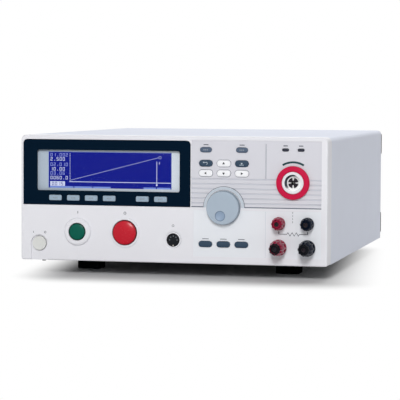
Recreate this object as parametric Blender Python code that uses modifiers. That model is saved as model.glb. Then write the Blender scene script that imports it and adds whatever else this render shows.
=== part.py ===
"""A bench hipot tester, built from its separate pieces.

Metres, +Z up, front panel facing -Y. The origin is under the middle of the tester, on the table.
Depths are measured from the front panel's face towards the rear, heights from the table.
"""
import math

import bmesh
import bpy
from mathutils import Matrix, Vector

# Case
BODY_WIDTH = 0.330
BODY_HEIGHT = 0.133
CASE_DEPTH = 0.414
FOOT_HEIGHT = 0.015
BUMPER_REACH = 0.013
SHEET = 0.0012
SEAT_GAP = 0.0003
CASE_CORNER = 0.005
JOIN = 0.001

# Front moulding
PANEL_DEPTH = 0.024
PANEL_WALL = 0.003
PANEL_SIDE_WALL = 0.0025
PANEL_LOW_CORNER = 0.0022
PANEL_EDGE = 0.0018
RIM_RIGHT = 0.0064
RIM_TOP = 0.0035
RIM_BOTTOM = 0.0077
DIVIDER_RISE = 0.0592
FIELD_WIDTH = 0.1377
FIELD_DEPTH = 0.001
GROOVE_DEPTH = 0.0007
GROOVE_WIDTH = 0.0016
GROOVE_TAPER = 0.0004
GROOVE_PITCH = 0.00505
GROOVE_COUNT = 6
GROOVE_FIRST_RISE = 0.0044
DIVIDER_LINE_WIDTH = 0.0008
LINE_FROM_HV = 0.0286
LINE_MARGIN = 0.0035
OVERLAY_DEPTH = 0.0005
OVERLAY_INSET = 0.0025
OVERLAY_DROP = 0.0026
OVERLAY_CORNER = 0.0015

# Display
DISPLAY_LEFT_MARGIN = 0.0028
DISPLAY_TOP_MARGIN = 0.0047
DISPLAY_LAND = 0.0009
DISPLAY_CORNER = 0.004
DISPLAY_PROUD = 0.0004
DISPLAY_EDGE = 0.0003
DISPLAY_POCKET_DEPTH = 0.002
DISPLAY_LEDGE_SIDE = 0.0045
DISPLAY_LEDGE_BOTTOM = 0.0022
DISPLAY_BOSS_DEPTH = 0.0055
WINDOW_LEFT_MARGIN = 0.0150
WINDOW_RIGHT_MARGIN = 0.0114
WINDOW_TOP_MARGIN = 0.0109
WINDOW_BOTTOM_MARGIN = 0.0151
WINDOW_CORNER = 0.002
WINDOW_LIP = 0.0018
WINDOW_SEAT_DEPTH = 0.0018
WINDOW_THICKNESS = 0.0015
LCD_LEFT_MARGIN = 0.0114
LCD_RIGHT_MARGIN = 0.0096
LCD_TOP_MARGIN = 0.0020
LCD_BOTTOM_MARGIN = 0.0026
LCD_RECESS = 0.0014
LCD_FRAME_DEPTH = 0.0030
LCD_BOARD_THICKNESS = 0.0016
LCD_BOARD_OVERHANG = 0.005

# Keys
SOFT_KEY_GAP = 0.0059
SOFT_KEY_HEIGHT = 0.0058
SOFT_KEY_CORNER = 0.0013
SOFT_KEY_PROUD = 0.001
SOFT_KEY_RISE = 0.0075
SOFT_KEY_FIRST = 0.0205
SOFT_KEY_LAST = 0.0204
SOFT_KEY_PLACES = (0, 1, 2, 3, 4.83, 5.83)
SMALL_KEY_WIDTH = 0.0124
SMALL_KEY_HEIGHT = 0.0052
KEY_WIDTH = 0.0144
KEY_HEIGHT = 0.0067
LOW_KEY_HEIGHT = 0.0063
KEY_CORNER_SHARE = 0.46
KEY_PROUD = 0.0015
KEY_EDGE = 0.00045
KEY_FLANGE = 0.0009
KEY_FLANGE_THICKNESS = 0.001
KEY_FOOT_SHARE = 0.45
KEY_TRAVEL = 0.0008
KEY_PLAY = 0.0003
KEY_PITCH_X = 0.01915
KEY_COLUMN_FROM_RIGHT = 0.1094
SMALL_KEY_DROP = 0.0137
UPPER_KEY_DROP = 0.0278
LOWER_KEY_DROP = 0.0381
LOW_KEY_RISE = 0.0209
KEY_BOARD_FACE = 0.011
KEY_BOARD_FROM_LEFT = 0.030
KEY_BOARD_PAST_KEYS = 0.040
KEY_BOARD_RISE = 0.010
KEY_BOARD_DROP = 0.008
BOARD_THICKNESS = 0.0016
BOARD_CLEARANCE = 0.001
BOSS_RADIUS = 0.003
BOSS_RISE = 0.015
BOSS_DROP = 0.012
BOSS_BELOW_DISPLAY = 0.006
BOSS_FROM_COLLAR = 0.0064
BOSS_LEFT_OF_KEYS = 0.026
BOSS_RIGHT_OF_KEYS = 0.032

# Jog wheel
JOG_FROM_RIGHT = 0.1091
JOG_RADIUS = 0.0179
JOG_FACE_RADIUS = 0.0172
JOG_REACH = 0.0072
JOG_ROUND = 0.0010
JOG_ARCH_RADIUS = 0.0216
JOG_SHAFT_RADIUS = 0.003
JOG_DIMPLE_RADIUS = 0.0053
JOG_DIMPLE_OFFSET = 0.0087
JOG_DIMPLE_DEPTH = 0.0012
JOG_DIMPLE_ANGLE = 254
ENCODER_SIZE = 0.012
ENCODER_HEIGHT = 0.005
ENCODER_CORNER = 0.001

# Push buttons
START_SHARE = 0.291
STOP_SHARE = 0.644
REMOTE_FROM_FIELD = 0.0217
BUTTON_RISE = 0.031
START_RADIUS = 0.0092
START_COLLAR_RADIUS = 0.0146
START_COLLAR_REACH = 0.003
START_COLLAR_SLOPE = 0.0027
START_COLLAR_LAND = 0.0006
START_SINK = 0.0006
STOP_RADIUS = 0.0133
STOP_RING_RADIUS = 0.0158
STOP_RING_REACH = 0.0012
STOP_RING_SLOPE = 0.0012
STOP_RING_LAND = 0.0006
START_CROWN = 0.0018
STOP_CROWN = 0.0030
BUTTON_STROKE = 0.0025
BUTTON_PLAY = 0.0004
BUTTON_TAIL_RADIUS = 0.004
SWITCH_HEIGHT = 0.0015
SWITCH_SIZE = 0.008
SLEEVE_WALL = 0.0016
SLEEVE_DEPTH = 0.0065

# Remote socket
REMOTE_RISE = 0.0243
REMOTE_RADIUS = 0.0083
REMOTE_INSERT_RADIUS = 0.0070
REMOTE_DISH_RADIUS = 0.0118
REMOTE_DISH_DEPTH = 0.0012
REMOTE_LENGTH = 0.017
REMOTE_RIM_REACH = 0.0008
REMOTE_INSERT_SINK = 0.0012
REMOTE_CONTACTS = 5
REMOTE_CONTACT_STEP = 45
REMOTE_CONTACT_CIRCLE = 0.004
REMOTE_CONTACT_RADIUS = 0.0007
REMOTE_CONTACT_DEPTH = 0.006
REMOTE_SLOT_WIDTH = 0.0016
REMOTE_SLOT_HEIGHT = 0.0018
REMOTE_SLOT_DEPTH = 0.005

# Power switch
POWER_FROM_LEFT = 0.0203
POWER_RISE = 0.0178
POWER_RADIUS = 0.0075
POWER_CHANNEL_RADIUS = 0.0092
POWER_CHANNEL_DEPTH = 0.0018
POWER_PROUD = 0.001
POWER_EDGE = 0.0008
POWER_STROKE = 0.003
POWER_ROD = 0.005
POWER_SWITCH_DEPTH = 0.034
POWER_SWITCH_WIDTH = 0.014
POWER_SWITCH_LENGTH = 0.022
POWER_SWITCH_RISE = 0.006

# High-voltage terminal
HV_FROM_RIGHT = 0.0363
HV_RISE = 0.0269
HV_RING_RADIUS = 0.0174
HV_SOCKET_RADIUS = 0.0114
HV_BORE_RADIUS = 0.0080
HV_BARREL_RADIUS = 0.0092
HV_RING_REACH = 0.0024
HV_RING_ROUND = 0.0011
HV_SOCKET_REACH = 0.0016
HV_MOUTH_CHAMFER = 0.0006
HV_CONTACT_RADIUS = 0.0045
HV_CONTACT_BORE = 0.002
HV_CONTACT_DEPTH = 0.001
HV_CONTACT_BORE_LENGTH = 0.013
HV_BORE_DEPTH = 0.012
HV_SOCKET_LENGTH = 0.032
LAMP_SPREAD = 0.0081
LAMP_DROP = 0.013
LAMP_WIDTH = 0.0069
LAMP_HEIGHT = 0.0028
LAMP_CORNER_SHARE = 0.45
LAMP_PROUD = 0.0006
LIGHT_PIPE_MARGIN = 0.001
LIGHT_PIPE_THICKNESS = 0.0025

# Binding posts
POST_LEFT_FROM_RIGHT = 0.0508
POST_SPACING_X = 0.0301
POST_LOW_RISE = 0.0189
POST_SPACING_Z = 0.0249
SOURCE_POST_RADIUS = 0.0085
SOURCE_NOSE_RADIUS = 0.0057
SOURCE_POST_REACH = 0.025
SENSE_POST_RADIUS = 0.0069
SENSE_NOSE_RADIUS = 0.0054
SENSE_POST_REACH = 0.0145
POST_FLANGE_THICKNESS = 0.004
POST_FLUTES = 10
POST_FLUTE_DEPTH = 0.0005
POST_TAPER_SHARE = 0.72
STUD_RADIUS = 0.0024
STUD_SINK = 0.004
INSERT_RADIUS = 0.0040
INSERT_BORE_RADIUS = 0.002
INSERT_SINK = 0.0012
INSERT_BACK_GAP = 0.0006
POST_FIT = 0.0003
POST_BARREL_RADIUS = 0.0042
POST_TAIL_DEPTH = 0.014

# Feet and bumpers
FOOT_WIDTH = 0.0255
FOOT_FRONT = 0.070
FOOT_INSET = 0.0542
FOOT_CORNER = 0.003
BUMPER_WIDTH = 0.026
BUMPER_TALL = 0.030
BUMPER_CORNER = 0.004
BUMPER_SIDE_MARGIN = 0.001
BUMPER_DROP = 0.002
BUMPER_RISE = 0.004

# Chassis and rear
TRAY_SIDE_RISE = 0.025
TRAY_FRONT_RISE = 0.0028
TRAY_FRONT_REACH = 0.009
COVER_LIP = 0.008
REAR_PANEL_THICKNESS = 0.0015
VENT_FROM_REAR = 0.157
VENT_COUNT = 8
VENT_LENGTH = 0.045
VENT_WIDTH = 0.004
VENT_PITCH = 0.009
FAN_FROM_LEFT = 0.062
FAN_RISE = 0.067
FAN_SIZE = 0.080
FAN_DEPTH = 0.025
FAN_CORNER = 0.004
FAN_SPIDER = 0.003
FAN_ROTOR_SETBACK = 0.002
FAN_BORE_RADIUS = 0.0382
FAN_HUB_RADIUS = 0.017
FAN_TIP_GAP = 0.001
FAN_BLADES = 7
FAN_BLADE_ROOT = 0.0136
FAN_BLADE_PITCH = 38
FAN_BLADE_CHORD = 0.018
FAN_BLADE_THICKNESS = 0.0016
FAN_STRUT = 0.004
GRILLE_BARS = 9
GRILLE_BAR = 0.003
INLET_FROM_RIGHT = 0.060
INLET_RISE = 0.040
INLET_WIDTH = 0.050
INLET_HEIGHT = 0.028
INLET_CORNER = 0.003
INLET_FLANGE = 0.0025
INLET_BODY_WIDTH = 0.044
INLET_BODY_HEIGHT = 0.024
INLET_BODY_DEPTH = 0.024
INLET_CAVITY_WIDTH = 0.0245
INLET_CAVITY_HEIGHT = 0.0175
INLET_CAVITY_DEPTH = 0.017
INLET_CAVITY_CHAMFER = 0.004
INLET_PIN_LENGTH = 0.011
INLET_PIN_PITCH = 0.007
INLET_PIN_STAGGER = 0.002
INLET_PIN_WIDTH = 0.002
INLET_PIN_HEIGHT = 0.004
INTERFACE_WIDTH = 0.100
INTERFACE_HEIGHT = 0.044
INTERFACE_RISE = 0.095
INTERFACE_FROM_RIGHT = 0.110
INTERFACE_CORNER = 0.002
INTERFACE_LAND = 0.004
SHELL_HEIGHT = 0.0083
SHELL_CORNER = 0.0025
SHELL_REACH = 0.005
WIDE_SHELL_WIDTH = 0.038
WIDE_SHELL_FROM_LEFT = 0.027
NARROW_SHELL_WIDTH = 0.017
NARROW_SHELL_FROM_RIGHT = 0.034
DATA_PORT_WIDTH = 0.012
DATA_PORT_HEIGHT = 0.011
DATA_PORT_REACH = 0.0015
DATA_PORT_FROM_RIGHT = 0.012

# Inside
TRANSFORMER_WIDTH = 0.085
TRANSFORMER_LENGTH = 0.075
TRANSFORMER_HEIGHT = 0.072
TRANSFORMER_FRONT = 0.085
TRANSFORMER_FROM_LEFT = 0.062
WINDING_INSET_X = 0.018
WINDING_INSET_Z = 0.014
WINDING_REACH = 0.011
WINDING_CORNER = 0.006
MAIN_BOARD_RISE = 0.0105
MAIN_BOARD_MARGIN = 0.010
MAIN_BOARD_FRONT = 0.036
MAIN_BOARD_STRIP = 0.030
MAIN_BOARD_FROM_LEFT = 0.125
MAIN_BOARD_FROM_REAR = 0.090
STANDOFF_RADIUS = 0.003
STANDOFF_INSET = 0.006
RELAY_COUNT = 3
RELAY_WIDTH = 0.020
RELAY_LENGTH = 0.016
RELAY_HEIGHT = 0.018
RELAY_PITCH = 0.026
RELAY_FROM_EDGE = 0.022
CAPACITOR_COUNT = 2
CAPACITOR_RADIUS = 0.0125
CAPACITOR_HEIGHT = 0.034
CAPACITOR_PITCH = 0.036
CAPACITOR_FROM_EDGE = 0.055
PIECES_FRONT = 0.093
HEATSINK_FINS = 9
HEATSINK_FIN = 0.0016
HEATSINK_PITCH = 0.008
HEATSINK_HEIGHT = 0.055
HEATSINK_LENGTH = 0.110
HEATSINK_BASE = 0.004
HEATSINK_MARGIN = 0.012

# Round shapes
ROUND_SIDES = 28
HOLE_SIDES = 24
SMALL_SIDES = 16
TINY_SIDES = 8
RING_SIDES = 40
OVERSHOOT = 0.002

# Places worked out from the sizes above
LEFT = -BODY_WIDTH / 2
RIGHT = BODY_WIDTH / 2
BOTTOM = FOOT_HEIGHT
TOP = FOOT_HEIGHT + BODY_HEIGHT
FRONT_Y = (SOURCE_POST_REACH - CASE_DEPTH - BUMPER_REACH) / 2
DIVIDER_Z = BOTTOM + DIVIDER_RISE
FIELD_RIGHT = RIGHT - RIM_RIGHT
FIELD_LEFT = FIELD_RIGHT - FIELD_WIDTH
FIELD_TOP = TOP - RIM_TOP
DISPLAY = (LEFT + DISPLAY_LEFT_MARGIN, FIELD_LEFT - DISPLAY_LAND, DIVIDER_Z, TOP - DISPLAY_TOP_MARGIN)
WINDOW = (DISPLAY[0] + WINDOW_LEFT_MARGIN, DISPLAY[1] - WINDOW_RIGHT_MARGIN,
          DISPLAY[2] + WINDOW_BOTTOM_MARGIN, DISPLAY[3] - WINDOW_TOP_MARGIN)
KEY_COLUMN_X = RIGHT - KEY_COLUMN_FROM_RIGHT
JOG_X = RIGHT - JOG_FROM_RIGHT
BUTTON_Z = BOTTOM + BUTTON_RISE
POWER_X = LEFT + POWER_FROM_LEFT
POWER_Z = BOTTOM + POWER_RISE
REMOTE_X = FIELD_LEFT + OVERLAY_INSET - REMOTE_FROM_FIELD
REMOTE_Z = BOTTOM + REMOTE_RISE
START_X = POWER_X + START_SHARE * (REMOTE_X - POWER_X)
STOP_X = POWER_X + STOP_SHARE * (REMOTE_X - POWER_X)
HV_X = RIGHT - HV_FROM_RIGHT
HV_Z = DIVIDER_Z + HV_RISE
LAMP_Z = TOP - LAMP_DROP
COVER_START = PANEL_DEPTH + SEAT_GAP
REAR_FACE = CASE_DEPTH - SHEET - SEAT_GAP
REAR_INNER = REAR_FACE - REAR_PANEL_THICKNESS
TRAY_HALF = BODY_WIDTH / 2 - SHEET - SEAT_GAP
TRAY_TOP = BOTTOM + SHEET
FAN_X = LEFT + FAN_FROM_LEFT
FAN_Z = BOTTOM + FAN_RISE
INLET_X = RIGHT - INLET_FROM_RIGHT
INLET_Z = BOTTOM + INLET_RISE
MAIN_BOARD_Z = TRAY_TOP + MAIN_BOARD_RISE
TRANSFORMER_X = LEFT + TRANSFORMER_FROM_LEFT

COLORS = {
    "panel_grey": ((0.70, 0.70, 0.74, 1), 0.45, 0.0),
    "cover_paint": ((0.66, 0.67, 0.72, 1), 0.5, 0.0),
    "navy": ((0.004, 0.022, 0.045, 1), 0.35, 0.0),
    "clear": ((0.6, 0.7, 0.8, 1), 0.1, 0.0),
    "lcd": ((0.02, 0.02, 0.5, 1), 0.3, 0.0),
    "soft_key": ((0.38, 0.47, 0.55, 1), 0.5, 0.0),
    "dark_key": ((0.03, 0.07, 0.11, 1), 0.45, 0.0),
    "white_key": ((0.85, 0.85, 0.86, 1), 0.5, 0.0),
    "cream": ((0.75, 0.75, 0.68, 1), 0.5, 0.0),
    "knob": ((0.38, 0.47, 0.57, 1), 0.5, 0.0),
    "green": ((0.0, 0.10, 0.06, 1), 0.3, 0.0),
    "red": ((0.55, 0.005, 0.02, 1), 0.25, 0.0),
    "hv_red": ((0.68, 0.008, 0.07, 1), 0.4, 0.0),
    "white_insulator": ((0.85, 0.85, 0.87, 1), 0.4, 0.0),
    "black": ((0.01, 0.01, 0.012, 1), 0.5, 0.0),
    "steel": ((0.55, 0.56, 0.58, 1), 0.35, 1.0),
    "brass": ((0.75, 0.58, 0.25, 1), 0.3, 1.0),
    "board": ((0.02, 0.16, 0.06, 1), 0.5, 0.0),
    "aluminium": ((0.62, 0.63, 0.65, 1), 0.4, 1.0),
    "rubber": ((0.03, 0.035, 0.035, 1), 0.8, 0.0),
}


def clear_scene():
    """Remove whatever the file opened with, and make the two collections."""
    for obj in list(bpy.data.objects):
        bpy.data.objects.remove(obj, do_unlink=True)
    groups = []
    for name in ("hipot_tester", "cutters"):
        group = bpy.data.collections.new(name)
        bpy.context.scene.collection.children.link(group)
        groups.append(group)
    return groups


PARTS, CUTTERS = clear_scene()


def depth_y(depth):
    """World Y of a depth behind the front panel's face."""
    return FRONT_Y + depth


def material(name):
    """The material of that name, made on first use."""
    found = bpy.data.materials.get(name)
    if found:
        return found
    color, roughness, metallic = COLORS[name]
    made = bpy.data.materials.new(name)
    made.use_nodes = True
    shader = made.node_tree.nodes["Principled BSDF"]
    shader.inputs["Base Color"].default_value = color
    shader.inputs["Roughness"].default_value = roughness
    shader.inputs["Metallic"].default_value = metallic
    return made


def add_object(name, mesh, place, finish=None):
    """Link a mesh as a part, or as a cutter where it has no finish."""
    obj = bpy.data.objects.new(name, mesh)
    obj.location = place
    if finish:
        mesh.materials.append(material(finish))
        PARTS.objects.link(obj)
    else:
        obj.hide_render = True
        obj.display_type = "WIRE"
        CUTTERS.objects.link(obj)
    return obj


def block(name, x, depth, z, finish=None, centre=None):
    """A box from (low, high) pairs, with its origin at its middle or at centre."""
    middle = Vector(((x[0] + x[1]) / 2, depth_y((depth[0] + depth[1]) / 2), (z[0] + z[1]) / 2))
    place = Vector(centre) if centre else middle
    size = (x[1] - x[0], depth[1] - depth[0], z[1] - z[0])
    bm = bmesh.new()
    bmesh.ops.create_cube(bm, size=1)
    bmesh.ops.transform(bm, matrix=Matrix.Translation(middle - place) @ Matrix.Diagonal((*size, 1)),
                        verts=bm.verts)
    mesh = bpy.data.meshes.new(name)
    bm.to_mesh(mesh)
    bm.free()
    return add_object(name, mesh, place, finish)


def round_edges(obj, radius, steps, axis=1, keep=lambda middle: True):
    """Round the edges that run along one axis, where keep accepts their middle."""
    bm = bmesh.new()
    bm.from_mesh(obj.data)
    others = [index for index in range(3) if index != axis]
    chosen = []
    for edge in bm.edges:
        first, second = (vertex.co for vertex in edge.verts)
        across = max(abs(first[index] - second[index]) for index in others)
        if across < 1e-6 and keep((first + second) / 2):
            chosen.append(edge)
    bmesh.ops.bevel(bm, geom=chosen, offset=radius, segments=steps, profile=0.5, affect="EDGES",
                    clamp_overlap=True, material=-1)
    bm.to_mesh(obj.data)
    bm.free()
    return obj


def round_front(obj, radius, steps):
    """Round the outline of the face that looks towards the user."""
    bm = bmesh.new()
    bm.from_mesh(obj.data)
    front = min(vertex.co.y for vertex in bm.verts)
    chosen = [edge for edge in bm.edges if all(abs(vertex.co.y - front) < 1e-6 for vertex in edge.verts)]
    bmesh.ops.bevel(bm, geom=chosen, offset=radius, segments=steps, profile=0.5, affect="EDGES",
                    clamp_overlap=True, material=-1)
    bm.to_mesh(obj.data)
    bm.free()
    return obj


def cylinder(name, x, z, radius, depth, sides=SMALL_SIDES, finish=None, front_radius=None):
    """A cylinder or a cone along Y, with its origin on its axis at the first depth."""
    length = depth[1] - depth[0]
    bm = bmesh.new()
    near = radius if front_radius is None else front_radius
    bmesh.ops.create_cone(bm, cap_ends=True, segments=sides, radius1=near, radius2=radius, depth=length)
    half_step = Matrix.Rotation(math.pi / sides, 4, "Z")
    turn = Matrix.Translation((0, length / 2, 0)) @ Matrix.Rotation(-math.pi / 2, 4, "X") @ half_step
    bmesh.ops.transform(bm, matrix=turn, verts=bm.verts)
    mesh = bpy.data.meshes.new(name)
    bm.to_mesh(mesh)
    bm.free()
    return add_object(name, mesh, (x, depth_y(depth[0]), z), finish)


def upright(name, x, depth, radius, z, sides):
    """A standing cylinder between two heights, to be joined to a board or to the tray."""
    bm = bmesh.new()
    bmesh.ops.create_cone(bm, cap_ends=True, segments=sides, radius1=radius, radius2=radius, depth=z[1] - z[0])
    mesh = bpy.data.meshes.new(name)
    bm.to_mesh(mesh)
    bm.free()
    return add_object(name, mesh, (x, depth_y(depth), (z[0] + z[1]) / 2))


def turned(name, profile, x, z, depth, sides=ROUND_SIDES, finish=None):
    """A turned shape: (radius, depth) points, front to rear along the outside, spun about Y."""
    mesh = bpy.data.meshes.new(name)
    points = [(radius, along - depth, 0) for radius, along in reversed(profile)]
    edges = [(index, index + 1) for index in range(len(points) - 1)]
    if profile[0] == profile[-1]:
        points.pop()
        edges[-1] = (len(points) - 1, 0)
    mesh.from_pydata(points, edges, [])
    obj = add_object(name, mesh, (x, depth_y(depth), z), finish)
    screw = obj.modifiers.new("turn", "SCREW")
    screw.axis = "Y"
    screw.angle = math.tau
    screw.steps = sides
    screw.render_steps = sides
    screw.use_merge_vertices = True
    screw.merge_threshold = 1e-5
    return obj


def fluted(name, radius, nose, x, z, depth, finish):
    """A binding post's grip, whose outline waves in and out and which narrows to its nose."""
    steps = POST_FLUTES * 4
    bm = bmesh.new()
    rings = []
    taper_end = depth[0] + POST_TAPER_SHARE * (depth[1] - depth[0])
    for along, share in ((depth[0], nose / radius), (taper_end, 1), (depth[1], 1)):
        ring = []
        for step in range(steps):
            angle = math.tau * step / steps
            reach = share * (radius - POST_FLUTE_DEPTH * (1 - math.cos(POST_FLUTES * angle)) / 2)
            ring.append(bm.verts.new((reach * math.cos(angle), along - depth[0], reach * math.sin(angle))))
        rings.append(ring)
    for lower, upper in zip(rings, rings[1:]):
        for step in range(steps):
            ahead = (step + 1) % steps
            bm.faces.new((lower[step], upper[step], upper[ahead], lower[ahead]))
    bm.faces.new(rings[0])
    bm.faces.new(list(reversed(rings[-1])))
    bmesh.ops.recalc_face_normals(bm, faces=bm.faces)
    mesh = bpy.data.meshes.new(name)
    bm.to_mesh(mesh)
    bm.free()
    return add_object(name, mesh, (x, depth_y(depth[0]), z), finish)


def boolean(target, tool, operation):
    """Cut a part with a tool, or join the tool to it."""
    step = target.modifiers.new(f"{operation.lower()}_{tool.name}", "BOOLEAN")
    step.operation = operation
    step.solver = "EXACT"
    step.object = tool


def cut(target, *tools):
    """Take the tools away from a part."""
    for tool in tools:
        boolean(target, tool, "DIFFERENCE")


def join(target, *tools):
    """Add the tools to a part as one body."""
    for tool in tools:
        boolean(target, tool, "UNION")


def rounded_block(name, x, depth, z, corner, steps=2, finish=None, centre=None):
    """A box whose four edges along Y are rounded."""
    return round_edges(block(name, x, depth, z, finish, centre), corner, steps)


def around(middle, size):
    """The (low, high) pair of a span around its middle."""
    return (middle - size / 2, middle + size / 2)


def grown(span, by):
    """A (low, high) pair made longer by the same amount at both ends."""
    return (span[0] - by, span[1] + by)


def shoulder(radius, front, width, drop, steps):
    """Profile points of a rounded edge, from the flat front face out to the side, as (radius, depth)."""
    points = []
    for step in range(steps + 1):
        angle = math.pi / 2 * step / steps
        points.append((radius - width * (1 - math.sin(angle)), front + drop * (1 - math.cos(angle))))
    return points


# Keys

def key_places():
    """Every key: name, finish, x, z, width, height and corner."""
    keys = []
    first = WINDOW[0] + SOFT_KEY_FIRST
    pitch = (WINDOW[1] - SOFT_KEY_LAST - first) / SOFT_KEY_PLACES[-1]
    width = pitch - SOFT_KEY_GAP
    for number, place in enumerate(SOFT_KEY_PLACES, 1):
        keys.append((f"soft_key_{number}", "soft_key", first + pitch * place, DISPLAY[2] + SOFT_KEY_RISE,
                     width, SOFT_KEY_HEIGHT, SOFT_KEY_CORNER))
    columns = [KEY_COLUMN_X + KEY_PITCH_X * step for step in (-1, 0, 1)]
    rows = [
        ("page_key", "dark_key", columns[0], TOP - SMALL_KEY_DROP, SMALL_KEY_WIDTH, SMALL_KEY_HEIGHT),
        ("function_key", "dark_key", columns[2], TOP - SMALL_KEY_DROP, SMALL_KEY_WIDTH, SMALL_KEY_HEIGHT),
        ("back_key", "dark_key", columns[0], TOP - UPPER_KEY_DROP, KEY_WIDTH, KEY_HEIGHT),
        ("up_key", "white_key", columns[1], TOP - UPPER_KEY_DROP, KEY_WIDTH, KEY_HEIGHT),
        ("store_key", "dark_key", columns[2], TOP - UPPER_KEY_DROP, KEY_WIDTH, KEY_HEIGHT),
        ("left_key", "white_key", columns[0], TOP - LOWER_KEY_DROP, KEY_WIDTH, KEY_HEIGHT),
        ("down_key", "white_key", columns[1], TOP - LOWER_KEY_DROP, KEY_WIDTH, KEY_HEIGHT),
        ("right_key", "white_key", columns[2], TOP - LOWER_KEY_DROP, KEY_WIDTH, KEY_HEIGHT),
        ("manual_key", "dark_key", columns[0], BOTTOM + LOW_KEY_RISE, KEY_WIDTH, LOW_KEY_HEIGHT),
        ("automatic_key", "dark_key", columns[1], BOTTOM + LOW_KEY_RISE, KEY_WIDTH, LOW_KEY_HEIGHT),
        ("utility_key", "dark_key", columns[2], BOTTOM + LOW_KEY_RISE, KEY_WIDTH, LOW_KEY_HEIGHT),
    ]
    for row in rows:
        keys.append((*row, row[5] * KEY_CORNER_SHARE))
    return keys


def is_soft(name):
    """Whether a key belongs to the row under the display."""
    return name.startswith("soft")


def key_levels(name):
    """The depths of a key's front and of the back of the wall that it passes through."""
    if is_soft(name):
        return -DISPLAY_PROUD - SOFT_KEY_PROUD, DISPLAY_BOSS_DEPTH
    if name in ("manual_key", "automatic_key", "utility_key"):
        return OVERLAY_DEPTH - KEY_PROUD, PANEL_WALL
    return FIELD_DEPTH - KEY_PROUD, PANEL_WALL


def build_key(name, finish, x, z, width, height, corner):
    """A key cap with a retaining flange behind the wall and a foot that ends over the board."""
    front, wall_back = key_levels(name)
    flange_front = wall_back + SEAT_GAP
    foot_end = KEY_BOARD_FACE - KEY_TRAVEL - SEAT_GAP
    key = rounded_block(name, around(x, width), (front, flange_front + KEY_FLANGE_THICKNESS / 2),
                        around(z, height), corner, finish=finish, centre=(x, depth_y(front), z))
    round_front(key, KEY_EDGE, 1)
    flange = block(f"{name}_flange", around(x, width + 2 * KEY_FLANGE),
                   (flange_front, flange_front + KEY_FLANGE_THICKNESS), around(z, height + 2 * KEY_FLANGE))
    foot = block(f"{name}_foot", around(x, width * KEY_FOOT_SHARE),
                 (flange_front + KEY_FLANGE_THICKNESS / 2, foot_end), around(z, height * KEY_FOOT_SHARE))
    join(key, flange, foot)
    return key


def key_opening(name, x, z, width, height, corner):
    """The opening that a key passes through, in the panel or in the display's moulding."""
    wall_back = key_levels(name)[1]
    return rounded_block(f"{name}_opening", around(x, width + 2 * KEY_PLAY),
                         (-PANEL_WALL, wall_back + OVERSHOOT), around(z, height + 2 * KEY_PLAY),
                         corner + KEY_PLAY)


# Front moulding

def field_cutter():
    """The sunk upper field with its row of grooves, which stops at the arch over the jog wheel."""
    deepest = FIELD_DEPTH + GROOVE_DEPTH
    outline = [(-OVERSHOOT, FIELD_TOP), (-OVERSHOOT, DIVIDER_Z), (FIELD_DEPTH, DIVIDER_Z)]
    for step in range(GROOVE_COUNT):
        low, high = around(DIVIDER_Z + GROOVE_FIRST_RISE + GROOVE_PITCH * step, GROOVE_WIDTH)
        outline += [(FIELD_DEPTH, low), (deepest, low + GROOVE_TAPER),
                    (deepest, high - GROOVE_TAPER), (FIELD_DEPTH, high)]
    outline.append((FIELD_DEPTH, FIELD_TOP))
    field = outline_prism("upper_field", outline, FIELD_LEFT, FIELD_RIGHT)
    cut(field, cylinder("jog_arch", JOG_X, DIVIDER_Z, JOG_ARCH_RADIUS, (-2 * OVERSHOOT, deepest + OVERSHOOT),
                        ROUND_SIDES))
    return field


def outline_prism(name, outline, left, right):
    """A (depth, height) outline, drawn as a filled 2D curve and extruded along X."""
    curve = bpy.data.curves.new(name, "CURVE")
    curve.dimensions = "2D"
    curve.fill_mode = "BOTH"
    curve.extrude = (right - left) / 2
    spline = curve.splines.new("POLY")
    spline.points.add(len(outline) - 1)
    for point, (depth, height) in zip(spline.points, outline):
        point.co = (depth_y(depth), height, 0, 1)
    spline.use_cyclic_u = True
    guide = bpy.data.objects.new(f"{name}_curve", curve)
    bpy.context.scene.collection.objects.link(guide)
    bpy.context.view_layer.update()
    evaluated = guide.evaluated_get(bpy.context.evaluated_depsgraph_get())
    mesh = bpy.data.meshes.new_from_object(evaluated)
    bpy.data.objects.remove(guide, do_unlink=True)
    stand = Matrix(((0, 0, 1, (left + right) / 2), (1, 0, 0, 0), (0, 1, 0, 0), (0, 0, 0, 1)))
    mesh.transform(stand)
    bm = bmesh.new()
    bm.from_mesh(mesh)
    bmesh.ops.remove_doubles(bm, verts=bm.verts, dist=1e-6)
    bmesh.ops.recalc_face_normals(bm, faces=bm.faces)
    bm.to_mesh(mesh)
    bm.free()
    return add_object(name, mesh, (0, 0, 0))


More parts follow.
